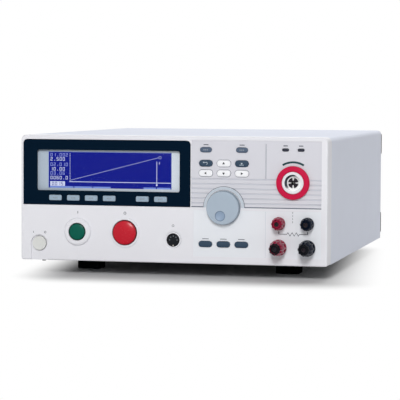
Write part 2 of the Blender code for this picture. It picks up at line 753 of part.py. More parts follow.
def build_front_panel(keys):
    """The grey front moulding: a shallow tray with every opening, collar and guide of the front."""
    panel = block("front_panel", (LEFT, RIGHT), (0, PANEL_DEPTH), (BOTTOM, TOP), "panel_grey")
    round_edges(panel, CASE_CORNER, 4, keep=lambda middle: middle.z > 0)
    round_edges(panel, PANEL_LOW_CORNER, 3, keep=lambda middle: middle.z < PANEL_SIDE_WALL - BODY_HEIGHT / 2)
    round_front(panel, PANEL_EDGE, 3)
    hollow = rounded_block("panel_hollow", grown((LEFT, RIGHT), -PANEL_SIDE_WALL),
                           (PANEL_WALL, PANEL_DEPTH + OVERSHOOT), grown((BOTTOM, TOP), -PANEL_SIDE_WALL),
                           CASE_CORNER - PANEL_SIDE_WALL, 3)
    cut(panel, hollow)
    add_collars(panel)
    cut(panel, field_cutter())
    cut_display_seat(panel)
    cut_power_channel(panel)
    overlay = rounded_block("overlay_recess", (FIELD_LEFT + OVERLAY_INSET, FIELD_RIGHT),
                            (-OVERSHOOT, OVERLAY_DEPTH), (BOTTOM + RIM_BOTTOM, DIVIDER_Z - OVERLAY_DROP),
                            OVERLAY_CORNER)
    cut(overlay, cylinder("jog_arch_foot", JOG_X, DIVIDER_Z, JOG_ARCH_RADIUS, (-2 * OVERSHOOT, OVERSHOOT),
                          ROUND_SIDES))
    line = block("divider_line", around(HV_X - LINE_FROM_HV, DIVIDER_LINE_WIDTH),
                 (-OVERSHOOT, FIELD_DEPTH + GROOVE_DEPTH), (HV_Z + LINE_MARGIN, FIELD_TOP - LINE_MARGIN))
    cut(panel, overlay, line)
    for name, _, x, z, width, height, corner in keys:
        if not is_soft(name):
            cut(panel, key_opening(name, x, z, width, height, corner))
    cut_round_openings(panel)
    return panel


def add_collars(panel):
    """The START collar, the STOP ring, the sleeves behind them and the bosses for the key board."""
    for name, x, radius, reach, slope, land in (
            ("start_collar", START_X, START_COLLAR_RADIUS, START_COLLAR_REACH, START_COLLAR_SLOPE,
             START_COLLAR_LAND),
            ("stop_ring", STOP_X, STOP_RING_RADIUS, STOP_RING_REACH, STOP_RING_SLOPE, STOP_RING_LAND)):
        profile = [(0, -reach), *shoulder(radius, -reach, slope, reach - land, 2),
                   (radius, PANEL_WALL / 2), (0, PANEL_WALL / 2)]
        join(panel, turned(name, profile, x, BUTTON_Z, 0, HOLE_SIDES))
    for name, x, radius in (("start_sleeve", START_X, START_RADIUS), ("stop_sleeve", STOP_X, STOP_RADIUS)):
        join(panel, cylinder(name, x, BUTTON_Z, radius + BUTTON_PLAY + SLEEVE_WALL,
                             (PANEL_WALL / 2, SLEEVE_DEPTH), HOLE_SIDES))
    for number, (x, z) in enumerate(board_bosses()):
        join(panel, cylinder(f"board_boss_{number}", x, z, BOSS_RADIUS,
                             (PANEL_WALL / 2, KEY_BOARD_FACE - SEAT_GAP), TINY_SIDES))


def board_bosses():
    """Where the key board is screwed to the front moulding."""
    low = BOTTOM + BOSS_RISE
    high = DISPLAY[2] - BOSS_BELOW_DISPLAY
    right = KEY_COLUMN_X + BOSS_RIGHT_OF_KEYS
    return [(START_X - START_COLLAR_RADIUS - BOSS_FROM_COLLAR, high), ((START_X + STOP_X) / 2, low),
            (KEY_COLUMN_X - BOSS_LEFT_OF_KEYS, high), (right, low), (right, TOP - BOSS_DROP)]


def cut_display_seat(panel):
    """The pocket that the display's moulding drops into, and the opening that its boss passes through."""
    left, right, low, high = DISPLAY
    pocket = block("display_pocket", grown((left, right), SEAT_GAP), (-OVERSHOOT, DISPLAY_POCKET_DEPTH),
                   grown((low, high), SEAT_GAP))
    round_edges(pocket, DISPLAY_CORNER + SEAT_GAP, 3, keep=lambda middle: middle.z > 0)
    x, z = boss_span()
    opening = block("display_opening", grown(x, SEAT_GAP), (0, PANEL_WALL + OVERSHOOT), grown(z, SEAT_GAP))
    cut(panel, pocket, opening)


def boss_span():
    """The spans in x and z of the boss behind the display's face."""
    left, right, low, high = DISPLAY
    return ((left + DISPLAY_LEDGE_SIDE, right - DISPLAY_LEDGE_SIDE),
            (low + DISPLAY_LEDGE_BOTTOM, high - DISPLAY_LEDGE_SIDE))


def cut_power_channel(panel):
    """The finger channel of the power switch: an arch that runs out of the panel's lower edge."""
    arch = cylinder("power_arch", POWER_X, POWER_Z, POWER_CHANNEL_RADIUS, (-OVERSHOOT, POWER_CHANNEL_DEPTH),
                    ROUND_SIDES)
    channel = block("power_channel", around(POWER_X, 2 * POWER_CHANNEL_RADIUS),
                    (-OVERSHOOT, POWER_CHANNEL_DEPTH), (BOTTOM - OVERSHOOT, POWER_Z))
    join(channel, arch)
    backing = block("power_backing", around(POWER_X, 2 * POWER_CHANNEL_RADIUS + 2 * SLEEVE_WALL),
                    (PANEL_WALL / 2, SLEEVE_DEPTH),
                    (BOTTOM + JOIN, POWER_Z + POWER_CHANNEL_RADIUS + SLEEVE_WALL))
    join(panel, backing)
    cut(panel, channel)


def cut_round_openings(panel):
    """The round holes of the buttons, the jog shaft, the sockets, the posts and the two lamps."""
    through = (-PANEL_WALL - OVERSHOOT, SLEEVE_DEPTH + OVERSHOOT)
    holes = [
        cylinder("start_hole", START_X, BUTTON_Z, START_RADIUS + BUTTON_PLAY, through, HOLE_SIDES),
        cylinder("stop_hole", STOP_X, BUTTON_Z, STOP_RADIUS + BUTTON_PLAY, through, HOLE_SIDES),
        cylinder("power_hole", POWER_X, POWER_Z, POWER_RADIUS + BUTTON_PLAY, through, HOLE_SIDES),
        cylinder("jog_hole", JOG_X, DIVIDER_Z, JOG_SHAFT_RADIUS + SEAT_GAP, through),
        cylinder("remote_hole", REMOTE_X, REMOTE_Z, REMOTE_RADIUS + SEAT_GAP, through, HOLE_SIDES),
        cylinder("remote_dish", REMOTE_X, REMOTE_Z, REMOTE_RADIUS + SEAT_GAP, (-SEAT_GAP, REMOTE_DISH_DEPTH),
                 HOLE_SIDES, front_radius=REMOTE_DISH_RADIUS),
        cylinder("hv_hole", HV_X, HV_Z, HV_BARREL_RADIUS + SEAT_GAP, through, HOLE_SIDES),
    ]
    for name, x, z, _, _ in post_places():
        holes.append(cylinder(f"{name}_hole", x, z, POST_BARREL_RADIUS + SEAT_GAP, through))
    for number, side in enumerate((-1, 1)):
        holes.append(lamp_head(f"lamp_hole_{number}", side, through, SEAT_GAP))
    cut(panel, *holes)


def lamp_head(name, side, span, play=0.0):
    """One of the two pill-shaped lamp windows, or the hole for it."""
    height = LAMP_HEIGHT + 2 * play
    return rounded_block(name, around(HV_X + side * LAMP_SPREAD, LAMP_WIDTH + 2 * play), span,
                         around(LAMP_Z, height), height * LAMP_CORNER_SHARE)


# Display

def build_display(keys):
    """The navy display surround, the clear window in it and the LCD module behind them."""
    left, right, low, high = DISPLAY
    back = DISPLAY_POCKET_DEPTH - SEAT_GAP
    bezel = block("display_bezel", (left, right), (-DISPLAY_PROUD, back), (low, high), "navy")
    round_edges(bezel, DISPLAY_CORNER, 3, keep=lambda middle: middle.z > 0)
    round_front(bezel, DISPLAY_EDGE, 1)
    x, z = boss_span()
    join(bezel, block("display_boss", x, (back / 2, DISPLAY_BOSS_DEPTH), z))
    window_x, window_z = WINDOW[:2], WINDOW[2:]
    sight = rounded_block("window_opening", window_x, (-OVERSHOOT, DISPLAY_BOSS_DEPTH + OVERSHOOT), window_z,
                          WINDOW_CORNER, 3)
    seat = block("window_seat", grown(window_x, WINDOW_LIP),
                 (WINDOW_SEAT_DEPTH, DISPLAY_BOSS_DEPTH + OVERSHOOT), grown(window_z, WINDOW_LIP))
    cut(bezel, sight, seat)
    for name, _, key_x, key_z, width, height, corner in keys:
        if is_soft(name):
            cut(bezel, key_opening(name, key_x, key_z, width, height, corner))
    glass_front = WINDOW_SEAT_DEPTH + SEAT_GAP
    block("display_window", grown(window_x, WINDOW_LIP - SEAT_GAP),
          (glass_front, glass_front + WINDOW_THICKNESS), grown(window_z, WINDOW_LIP - SEAT_GAP), "clear")
    build_lcd(window_x, window_z, glass_front + WINDOW_THICKNESS + SEAT_GAP)


def build_lcd(window_x, window_z, front):
    """The LCD module: metal frame round the sunk glass, on its circuit board."""
    frame_back = front + LCD_FRAME_DEPTH
    lcd = block("lcd_module", grown(window_x, WINDOW_LIP - SEAT_GAP), (front, frame_back),
                grown(window_z, WINDOW_LIP - SEAT_GAP), "lcd")
    glass = block("lcd_glass_recess", (window_x[0] + LCD_LEFT_MARGIN, window_x[1] - LCD_RIGHT_MARGIN),
                  (front - OVERSHOOT, front + LCD_RECESS),
                  (window_z[0] + LCD_BOTTOM_MARGIN, window_z[1] - LCD_TOP_MARGIN))
    board = block("lcd_board", grown(window_x, LCD_BOARD_OVERHANG),
                  (frame_back - LCD_BOARD_THICKNESS / 2, frame_back + LCD_BOARD_THICKNESS),
                  (window_z[0] - WINDOW_LIP, window_z[1] + LCD_BOARD_OVERHANG))
    join(lcd, board)
    cut(lcd, glass)


# Buttons, knob and sockets

def build_jog_wheel():
    """The jog wheel with its finger dimple, on a shaft that ends in the encoder."""
    back = -SEAT_GAP
    face = -JOG_REACH
    shaft_end = KEY_BOARD_FACE - SEAT_GAP
    profile = [(0, face), *shoulder(JOG_FACE_RADIUS, face, JOG_ROUND, JOG_ROUND, 3), (JOG_RADIUS, back),
               (JOG_SHAFT_RADIUS, back), (JOG_SHAFT_RADIUS, shaft_end), (0, shaft_end)]
    wheel = turned("jog_wheel", profile, JOG_X, DIVIDER_Z, 0, RING_SIDES, "knob")
    bowl_radius = (JOG_DIMPLE_RADIUS ** 2 + JOG_DIMPLE_DEPTH ** 2) / (2 * JOG_DIMPLE_DEPTH)
    bm = bmesh.new()
    bmesh.ops.create_uvsphere(bm, u_segments=24, v_segments=28, radius=bowl_radius)
    bmesh.ops.rotate(bm, verts=bm.verts, matrix=Matrix.Rotation(math.pi / 2, 3, "X"))
    mesh = bpy.data.meshes.new("jog_dimple")
    bm.to_mesh(mesh)
    bm.free()
    angle = math.radians(JOG_DIMPLE_ANGLE)
    centre = (JOG_X + JOG_DIMPLE_OFFSET * math.cos(angle), depth_y(face - bowl_radius + JOG_DIMPLE_DEPTH),
              DIVIDER_Z + JOG_DIMPLE_OFFSET * math.sin(angle))
    cut(wheel, add_object("jog_dimple", mesh, centre))


def dome_points(radius, edge, crown, steps=4):
    """Profile points of a shallow dome from its middle to its edge, as (radius, depth)."""
    points = []
    for step in range(steps + 1):
        angle = math.pi / 2 * step / steps
        points.append((radius * math.sin(angle), edge - (edge - crown) * math.cos(angle)))
    return points


def build_buttons():
    """START, STOP and the power button, each on a stem that ends over its switch."""
    for name, x, radius, edge, crown, finish in (
            ("start_button", START_X, START_RADIUS, START_COLLAR_REACH - START_SINK, START_CROWN, "green"),
            ("stop_button", STOP_X, STOP_RADIUS, STOP_RING_REACH, STOP_CROWN, "red")):
        tail_end = KEY_BOARD_FACE - SWITCH_HEIGHT - BUTTON_STROKE - SEAT_GAP
        profile = dome_points(radius, -edge, -edge - crown)
        profile += [(radius, SLEEVE_DEPTH - BUTTON_STROKE), (BUTTON_TAIL_RADIUS, SLEEVE_DEPTH - BUTTON_STROKE),
                    (BUTTON_TAIL_RADIUS, tail_end), (0, tail_end)]
        turned(name, profile, x, BUTTON_Z, 0, ROUND_SIDES, finish)
    skirt_end = SLEEVE_DEPTH - POWER_STROKE
    power = [(0, -POWER_PROUD), (POWER_RADIUS - POWER_EDGE, -POWER_PROUD),
             (POWER_RADIUS, POWER_EDGE - POWER_PROUD), (POWER_RADIUS, skirt_end), (0, skirt_end)]
    button = turned("power_button", power, POWER_X, POWER_Z, 0, ROUND_SIDES, "cream")
    rod = block("power_rod", around(POWER_X, POWER_ROD),
                (skirt_end - JOIN, POWER_SWITCH_DEPTH - POWER_STROKE - SEAT_GAP), around(POWER_Z, POWER_ROD))
    join(button, rod)


def build_remote_socket():
    """The round remote-control socket: black insert with five contacts and a key slot, in a shell."""
    mouth = REMOTE_DISH_DEPTH - REMOTE_RIM_REACH
    floor = mouth + REMOTE_INSERT_SINK
    profile = [(0, floor), (REMOTE_INSERT_RADIUS, floor), (REMOTE_INSERT_RADIUS, mouth),
               (REMOTE_RADIUS, mouth), (REMOTE_RADIUS, REMOTE_LENGTH), (0, REMOTE_LENGTH)]
    socket = turned("remote_socket", profile, REMOTE_X, REMOTE_Z, 0, ROUND_SIDES, "black")
    for number in range(REMOTE_CONTACTS):
        angle = math.radians(REMOTE_CONTACT_STEP * number)
        cut(socket, cylinder(f"remote_contact_{number}", REMOTE_X + REMOTE_CONTACT_CIRCLE * math.cos(angle),
                             REMOTE_Z + REMOTE_CONTACT_CIRCLE * math.sin(angle), REMOTE_CONTACT_RADIUS,
                             (mouth, mouth + REMOTE_CONTACT_DEPTH), TINY_SIDES))
    slot_z = REMOTE_Z - REMOTE_INSERT_RADIUS + REMOTE_SLOT_HEIGHT / 2 + SEAT_GAP
    cut(socket, block("remote_key_slot", around(REMOTE_X, REMOTE_SLOT_WIDTH),
                      (mouth, mouth + REMOTE_SLOT_DEPTH), around(slot_z, REMOTE_SLOT_HEIGHT)))


def build_hv_terminal():
    """The high-voltage terminal: a red ring on the panel round a white insulator with a sunk contact."""
    back = FIELD_DEPTH - SEAT_GAP
    inner = HV_SOCKET_RADIUS + SEAT_GAP
    ring = [(inner, -HV_RING_REACH), *shoulder(HV_RING_RADIUS, -HV_RING_REACH, HV_RING_ROUND, HV_RING_ROUND, 2),
            (HV_RING_RADIUS, back), (inner, back), (inner, -HV_RING_REACH)]
    turned("hv_ring", ring, HV_X, HV_Z, 0, RING_SIDES, "hv_red")
    bore_end = HV_CONTACT_DEPTH + HV_CONTACT_BORE_LENGTH
    socket = [(0, bore_end), (HV_CONTACT_BORE, bore_end),
              (HV_CONTACT_BORE, HV_CONTACT_DEPTH), (HV_CONTACT_RADIUS, HV_CONTACT_DEPTH),
              (HV_CONTACT_RADIUS, HV_BORE_DEPTH), (HV_BORE_RADIUS, HV_BORE_DEPTH),
              (HV_BORE_RADIUS, HV_MOUTH_CHAMFER - HV_SOCKET_REACH),
              (HV_BORE_RADIUS + HV_MOUTH_CHAMFER, -HV_SOCKET_REACH),
              (HV_SOCKET_RADIUS, -HV_SOCKET_REACH), (HV_SOCKET_RADIUS, back), (HV_BARREL_RADIUS, back),
              (HV_BARREL_RADIUS, HV_SOCKET_LENGTH), (0, HV_SOCKET_LENGTH)]
    turned("hv_socket", socket, HV_X, HV_Z, 0, ROUND_SIDES, "white_insulator")
    pipe_back = PANEL_WALL + SEAT_GAP
    pipe = block("lamp_light_pipe", grown(around(HV_X, 2 * LAMP_SPREAD + LAMP_WIDTH), LIGHT_PIPE_MARGIN),
                 (pipe_back, pipe_back + LIGHT_PIPE_THICKNESS),
                 grown(around(LAMP_Z, LAMP_HEIGHT), LIGHT_PIPE_MARGIN), "clear")
    for number, side in enumerate((-1, 1)):
        join(pipe, lamp_head(f"lamp_head_{number}", side, (FIELD_DEPTH - LAMP_PROUD, pipe_back + JOIN)))


# Binding posts

def post_places():
    """The four binding posts: name, x, z, cap radius and reach in front of the panel."""
    left = RIGHT - POST_LEFT_FROM_RIGHT
    right = left + POST_SPACING_X
    low = BOTTOM + POST_LOW_RISE
    high = low + POST_SPACING_Z
    return [("sense_high", left, high, SENSE_POST_RADIUS, SENSE_POST_REACH),
            ("sense_low", right, high, SENSE_POST_RADIUS, SENSE_POST_REACH),
            ("source_high", left, low, SOURCE_POST_RADIUS, SOURCE_POST_REACH),
            ("source_low", right, low, SOURCE_POST_RADIUS, SOURCE_POST_REACH)]


def build_post(name, x, z, radius, reach):
    """A binding post: insulating base with its stud, a brass insert on the stud, and the fluted cap."""
    finish = "red" if name.endswith("high") else "black"
    back = OVERLAY_DEPTH - SEAT_GAP
    face = back - POST_FLANGE_THICKNESS
    cap_back = face - SEAT_GAP
    stud_end = STUD_SINK - reach
    base = [(0, stud_end), (STUD_RADIUS, stud_end), (STUD_RADIUS, face), (radius, face), (radius, back),
            (POST_BARREL_RADIUS, back), (POST_BARREL_RADIUS, POST_TAIL_DEPTH), (0, POST_TAIL_DEPTH)]
    turned(f"{name}_base", base, x, z, 0, HOLE_SIDES, finish)
    insert_back = cap_back - INSERT_BACK_GAP
    bore = STUD_RADIUS + POST_FIT
    lip = INSERT_SINK - reach
    insert = [(INSERT_BORE_RADIUS, lip), (INSERT_RADIUS, lip), (INSERT_RADIUS, insert_back),
              (bore, insert_back), (bore, stud_end - POST_FIT), (INSERT_BORE_RADIUS, stud_end - POST_FIT),
              (INSERT_BORE_RADIUS, lip)]
    turned(f"{name}_insert", insert, x, z, 0, SMALL_SIDES, "brass")
    nose = SOURCE_NOSE_RADIUS if name.startswith("source") else SENSE_NOSE_RADIUS
    cap = fluted(f"{name}_cap", radius, nose, x, z, (-reach, cap_back), finish)
    cut(cap, cylinder(f"{name}_cap_bore", x, z, INSERT_RADIUS + POST_FIT,
                      (-reach - OVERSHOOT, cap_back + OVERSHOOT)))


# Case

def build_cover():
    """The painted steel cover: top and two sides in one bent sheet, with a turned-in lip at the rear."""
    cover = block("top_cover", (LEFT, RIGHT), (COVER_START, CASE_DEPTH), (BOTTOM + SEAT_GAP, TOP),
                  "cover_paint")
    round_edges(cover, CASE_CORNER, 4, keep=lambda middle: middle.z > 0)
    inner = block("cover_hollow", grown((LEFT, RIGHT), -SHEET), (COVER_START - OVERSHOOT, CASE_DEPTH - SHEET),
                  (BOTTOM - OVERSHOOT, TOP - SHEET))
    round_edges(inner, CASE_CORNER - SHEET, 4, keep=lambda middle: middle.z > 0)
    rear = block("cover_rear_opening", grown((LEFT, RIGHT), -SHEET - COVER_LIP),
                 (CASE_DEPTH - SHEET - OVERSHOOT, CASE_DEPTH + OVERSHOOT),
                 (BOTTOM - OVERSHOOT, TOP - SHEET - COVER_LIP))
    cut(cover, inner, rear)


def build_chassis():
    """The chassis tray: floor, upturned sides, a front flange inside the moulding, vents and standoffs."""
    sides = (-TRAY_HALF, TRAY_HALF)
    front, rear = TRAY_FRONT_REACH, REAR_INNER - SEAT_GAP
    high = BOTTOM + TRAY_SIDE_RISE
    tray = block("chassis", sides, (front, rear), (BOTTOM, high), "steel")
    step_top = BOTTOM + TRAY_FRONT_RISE + SHEET
    inner_outline = [(front - OVERSHOOT, step_top), (COVER_START + SHEET, step_top),
                     (COVER_START + SHEET, TRAY_TOP), (rear + OVERSHOOT, TRAY_TOP),
                     (rear + OVERSHOOT, high + OVERSHOOT), (front - OVERSHOOT, high + OVERSHOOT)]
    cut(tray, outline_prism("chassis_hollow", inner_outline, *grown(sides, -SHEET)))
    before = (front - OVERSHOOT, COVER_START)
    cut(tray, block("chassis_step", grown(sides, OVERSHOOT), before,
                    (BOTTOM - OVERSHOOT, BOTTOM + TRAY_FRONT_RISE)))
    flange_half = BODY_WIDTH / 2 - PANEL_SIDE_WALL - 2 * CASE_CORNER
    for sign in (-1, 1):
        beside = sorted((sign * flange_half, sign * (TRAY_HALF + OVERSHOOT)))
        cut(tray, block(f"chassis_side_{sign + 1}", beside, grown(before, SHEET / 2),
                        (BOTTOM - OVERSHOOT, high + 2 * OVERSHOOT)))
    for number in range(VENT_COUNT):
        middle = CASE_DEPTH - VENT_FROM_REAR + VENT_PITCH * (number - (VENT_COUNT - 1) / 2)
        cut(tray, block(f"vent_{number}", around(0, VENT_LENGTH), around(middle, VENT_WIDTH),
                        (BOTTOM - OVERSHOOT, TRAY_TOP + OVERSHOOT)))
    for number, (x, depth) in enumerate(standoff_places()):
        join(tray, standoff(f"standoff_{number}", x, depth))


def standoff(name, x, depth):
    """A pressed standoff from the tray's floor to the main board."""
    return upright(name, x, depth, STANDOFF_RADIUS, (TRAY_TOP - SHEET / 2, MAIN_BOARD_Z - SEAT_GAP), TINY_SIDES)


def main_board_spans():
    """The main board: a strip along the front and the wide part behind it, as (x, depth) pairs."""
    right = RIGHT - MAIN_BOARD_MARGIN
    strip_back = MAIN_BOARD_FRONT + MAIN_BOARD_STRIP
    strip = ((LEFT + MAIN_BOARD_MARGIN, right), (MAIN_BOARD_FRONT, strip_back))
    wide = ((LEFT + MAIN_BOARD_FROM_LEFT, right), (strip_back - JOIN, CASE_DEPTH - MAIN_BOARD_FROM_REAR))
    return strip, wide


def standoff_places():
    """The standoffs under the corners of the main board."""
    strip, wide = main_board_spans()
    front, rear = strip[1][0] + STANDOFF_INSET, wide[1][1] - STANDOFF_INSET
    right = wide[0][1] - STANDOFF_INSET
    return [(strip[0][0] + STANDOFF_INSET, front), (right, front), (wide[0][0] + STANDOFF_INSET, rear),
            (right, rear)]


def build_rear_panel():
    """The rear panel with its fan grille and the openings of the inlet and the interface plate."""
    panel = block("rear_panel", (-TRAY_HALF, TRAY_HALF), (REAR_INNER, REAR_FACE),
                  (BOTTOM + SEAT_GAP, TOP - SHEET - SEAT_GAP), "steel")
    round_edges(panel, CASE_CORNER, 3, keep=lambda middle: middle.z > 0)
    through = (REAR_INNER - OVERSHOOT, REAR_FACE + OVERSHOOT)
    radius = FAN_BORE_RADIUS
    pitch = 2 * radius / GRILLE_BARS
    for number in range(GRILLE_BARS):
        middle = FAN_Z - radius + pitch * (number + 0.5)
        reach = abs(middle - FAN_Z) + (pitch - GRILLE_BAR) / 2
        half = math.sqrt(radius ** 2 - reach ** 2)
        for side in (-1, 1):
            span = sorted((FAN_X + side * GRILLE_BAR / 2, FAN_X + side * half))
            cut(panel, block(f"grille_{number}_{side + 1}", span, through, around(middle, pitch - GRILLE_BAR)))
    cut(panel, block("inlet_opening", grown(around(INLET_X, INLET_BODY_WIDTH), SEAT_GAP), through,
                     grown(around(INLET_Z, INLET_BODY_HEIGHT), SEAT_GAP)))
    x, z = interface_span()
    cut(panel, block("interface_opening", grown(x, -INTERFACE_LAND), through, grown(z, -INTERFACE_LAND)))


def interface_span():
    """The spans in x and z of the interface plate on the rear panel."""
    return (around(RIGHT - INTERFACE_FROM_RIGHT, INTERFACE_WIDTH),
            around(BOTTOM + INTERFACE_RISE, INTERFACE_HEIGHT))


def build_rear_fittings():
    """The mains inlet and the interface plate with its connectors, both outside the rear panel."""
    face = REAR_FACE + SEAT_GAP
    flange = (face, face + INLET_FLANGE)
    inlet = rounded_block("mains_inlet", around(INLET_X, INLET_WIDTH), flange, around(INLET_Z, INLET_HEIGHT),
                          INLET_CORNER, finish="black")
    body = block("inlet_body", around(INLET_X, INLET_BODY_WIDTH),
                 (face - INLET_BODY_DEPTH, face + INLET_FLANGE / 2), around(INLET_Z, INLET_BODY_HEIGHT))
    join(inlet, body)
    outer = face + INLET_FLANGE
    floor = outer - INLET_CAVITY_DEPTH
    cavity = block("inlet_cavity", around(INLET_X, INLET_CAVITY_WIDTH), (floor, outer + OVERSHOOT),
                   around(INLET_Z, INLET_CAVITY_HEIGHT))
    round_edges(cavity, INLET_CAVITY_CHAMFER, 1, keep=lambda middle: middle.z > 0)
    cut(inlet, cavity)
    for number, place in enumerate((-1, 0, 1)):
        rise = INLET_PIN_STAGGER * (1 - 2 * abs(place))
        join(inlet, block(f"inlet_pin_{number}", around(INLET_X + INLET_PIN_PITCH * place, INLET_PIN_WIDTH),
                          (floor - JOIN, floor + INLET_PIN_LENGTH), around(INLET_Z + rise, INLET_PIN_HEIGHT)))
    build_interface_plate(face)


def build_interface_plate(face):
    """A plate with a wide and a narrow D-shaped connector and a square data port."""
    x, z = interface_span()
    plate_back = face + SHEET
    plate = rounded_block("interface_plate", x, (face, plate_back), z, INTERFACE_CORNER, 1, "steel")
    middle = (z[0] + z[1]) / 2
    shells = ((x[0] + WIDE_SHELL_FROM_LEFT, WIDE_SHELL_WIDTH),
              (x[1] - NARROW_SHELL_FROM_RIGHT, NARROW_SHELL_WIDTH))
    for number, (shell_x, width) in enumerate(shells):
        shell = block(f"connector_shell_{number}", around(shell_x, width),
                      (face + SHEET / 2, plate_back + SHELL_REACH), around(middle, SHELL_HEIGHT))
        join(plate, round_edges(shell, SHELL_CORNER, 2))
    join(plate, block("data_port", around(x[1] - DATA_PORT_FROM_RIGHT, DATA_PORT_WIDTH),
                      (face + SHEET / 2, plate_back + DATA_PORT_REACH), around(middle, DATA_PORT_HEIGHT)))


def build_fan():
    """The fan: frame with a spider that carries the hub, and the rotor with its blades."""
    back = REAR_INNER - SEAT_GAP
    front = back - FAN_DEPTH
    frame = rounded_block("fan_frame", around(FAN_X, FAN_SIZE), (front, back), around(FAN_Z, FAN_SIZE),
                          FAN_CORNER, finish="black")
    cut(frame, cylinder("fan_bore", FAN_X, FAN_Z, FAN_BORE_RADIUS, (front - OVERSHOOT, back + OVERSHOOT),
                        ROUND_SIDES))
    spider = (front, front + FAN_SPIDER)
    hub = cylinder("fan_spider_hub", FAN_X, FAN_Z, FAN_HUB_RADIUS, spider, HOLE_SIDES)
    for number, turn in enumerate((math.pi / 4, -math.pi / 4)):
        strut = block(f"fan_strut_{number}", around(FAN_X, 2 * (FAN_BORE_RADIUS + JOIN)),
                      grown(spider, -SEAT_GAP), around(FAN_Z, FAN_STRUT))
        strut.rotation_euler = (0, turn, 0)
        join(hub, strut)
    join(frame, hub)
    rotor_span = (spider[1] + SEAT_GAP, back - FAN_ROTOR_SETBACK)
    rotor = cylinder("fan_rotor", FAN_X, FAN_Z, FAN_HUB_RADIUS, rotor_span, HOLE_SIDES, "black")
    middle = (rotor_span[0] + rotor_span[1]) / 2
    for number in range(FAN_BLADES):
        join(rotor, fan_blade(f"fan_blade_{number}", middle, math.tau * number / FAN_BLADES))


def fan_blade(name, depth, angle):
    """One blade: a thin plate set at the blade's pitch and turned to its place round the hub."""
    bm = bmesh.new()
    bmesh.ops.create_cube(bm, size=1)
    reach = math.sqrt((FAN_BORE_RADIUS - FAN_TIP_GAP) ** 2 - (FAN_BLADE_CHORD / 2) ** 2)
    size = Matrix.Diagonal((reach - FAN_BLADE_ROOT, FAN_BLADE_CHORD, FAN_BLADE_THICKNESS, 1))
    pitch = Matrix.Rotation(math.radians(FAN_BLADE_PITCH), 4, "X")
    out = Matrix.Translation(((reach + FAN_BLADE_ROOT) / 2, 0, 0))
    turn = Matrix.Rotation(angle, 4, "Y")
    bmesh.ops.transform(bm, matrix=turn @ out @ pitch @ size, verts=bm.verts)
    mesh = bpy.data.meshes.new(name)
    bm.to_mesh(mesh)
    bm.free()
    return add_object(name, mesh, (FAN_X, depth_y(depth), FAN_Z))


def build_feet():
    """Four feet under the tray and four bumpers at the rear corners."""
    for place, depth in (("front", FOOT_FRONT), ("rear", CASE_DEPTH - FOOT_FRONT - FOOT_WIDTH)):
        for side, sign in (("left", -1), ("right", 1)):
            x = around(sign * (BODY_WIDTH / 2 - FOOT_INSET), FOOT_WIDTH)
            foot = block(f"foot_{place}_{side}", x, (depth, depth + FOOT_WIDTH), (0, BOTTOM - SEAT_GAP),
                         "rubber")
            round_edges(foot, FOOT_CORNER, 2, axis=2)
    for level, sign_z in (("lower", -1), ("upper", 1)):
        for side, sign in (("left", -1), ("right", 1)):
            build_bumper(f"rear_bumper_{level}_{side}", sign, sign_z)


def build_bumper(name, sign, sign_z):
    """A block at one rear corner, which the tester can stand on with its face up."""
    outer = sign * (BODY_WIDTH / 2 - BUMPER_SIDE_MARGIN)
    x = sorted((outer, outer - sign * BUMPER_WIDTH))
    low = TOP - BUMPER_DROP - BUMPER_TALL if sign_z > 0 else BOTTOM + BUMPER_RISE
    rounded_block(name, x, (CASE_DEPTH + SEAT_GAP, CASE_DEPTH + BUMPER_REACH), (low, low + BUMPER_TALL),
                  BUMPER_CORNER, finish="rubber")


# Inside

def build_key_board():
    """The board behind the front panel, with the encoder and the two button switches on it."""
    face = KEY_BOARD_FACE
    back = face + BOARD_THICKNESS
    board = block("key_board", (LEFT + KEY_BOARD_FROM_LEFT, KEY_COLUMN_X + KEY_BOARD_PAST_KEYS), (face, back),
                  (BOTTOM + KEY_BOARD_RISE, TOP - KEY_BOARD_DROP), "board")
    join(board, rounded_block("encoder", around(JOG_X, ENCODER_SIZE), (face - ENCODER_HEIGHT, back),
                              around(DIVIDER_Z, ENCODER_SIZE), ENCODER_CORNER, 1))
    for name, x in (("start_switch", START_X), ("stop_switch", STOP_X)):
        join(board, block(name, around(x, SWITCH_SIZE), (face - SWITCH_HEIGHT, back),
                          around(BUTTON_Z, SWITCH_SIZE)))
    cut(board,
        cylinder("encoder_bore", JOG_X, DIVIDER_Z, JOG_SHAFT_RADIUS + SEAT_GAP,
                 (face - ENCODER_HEIGHT - OVERSHOOT, back + OVERSHOOT)),
        cylinder("remote_clearance", REMOTE_X, REMOTE_Z, REMOTE_RADIUS + BOARD_CLEARANCE,
                 (face - OVERSHOOT, back + OVERSHOOT)))


def build_transformer():
    """The high-voltage transformer: laminated core with its winding standing out front and rear."""
    x = around(TRANSFORMER_X, TRANSFORMER_WIDTH)
    depth = (TRANSFORMER_FRONT, TRANSFORMER_FRONT + TRANSFORMER_LENGTH)
    low = TRAY_TOP + SEAT_GAP
    z = (low, low + TRANSFORMER_HEIGHT)
    core = block("hv_transformer", x, depth, z, "steel")
    join(core, rounded_block("winding", grown(x, -WINDING_INSET_X), grown(depth, WINDING_REACH),
                             grown(z, -WINDING_INSET_Z), WINDING_CORNER))


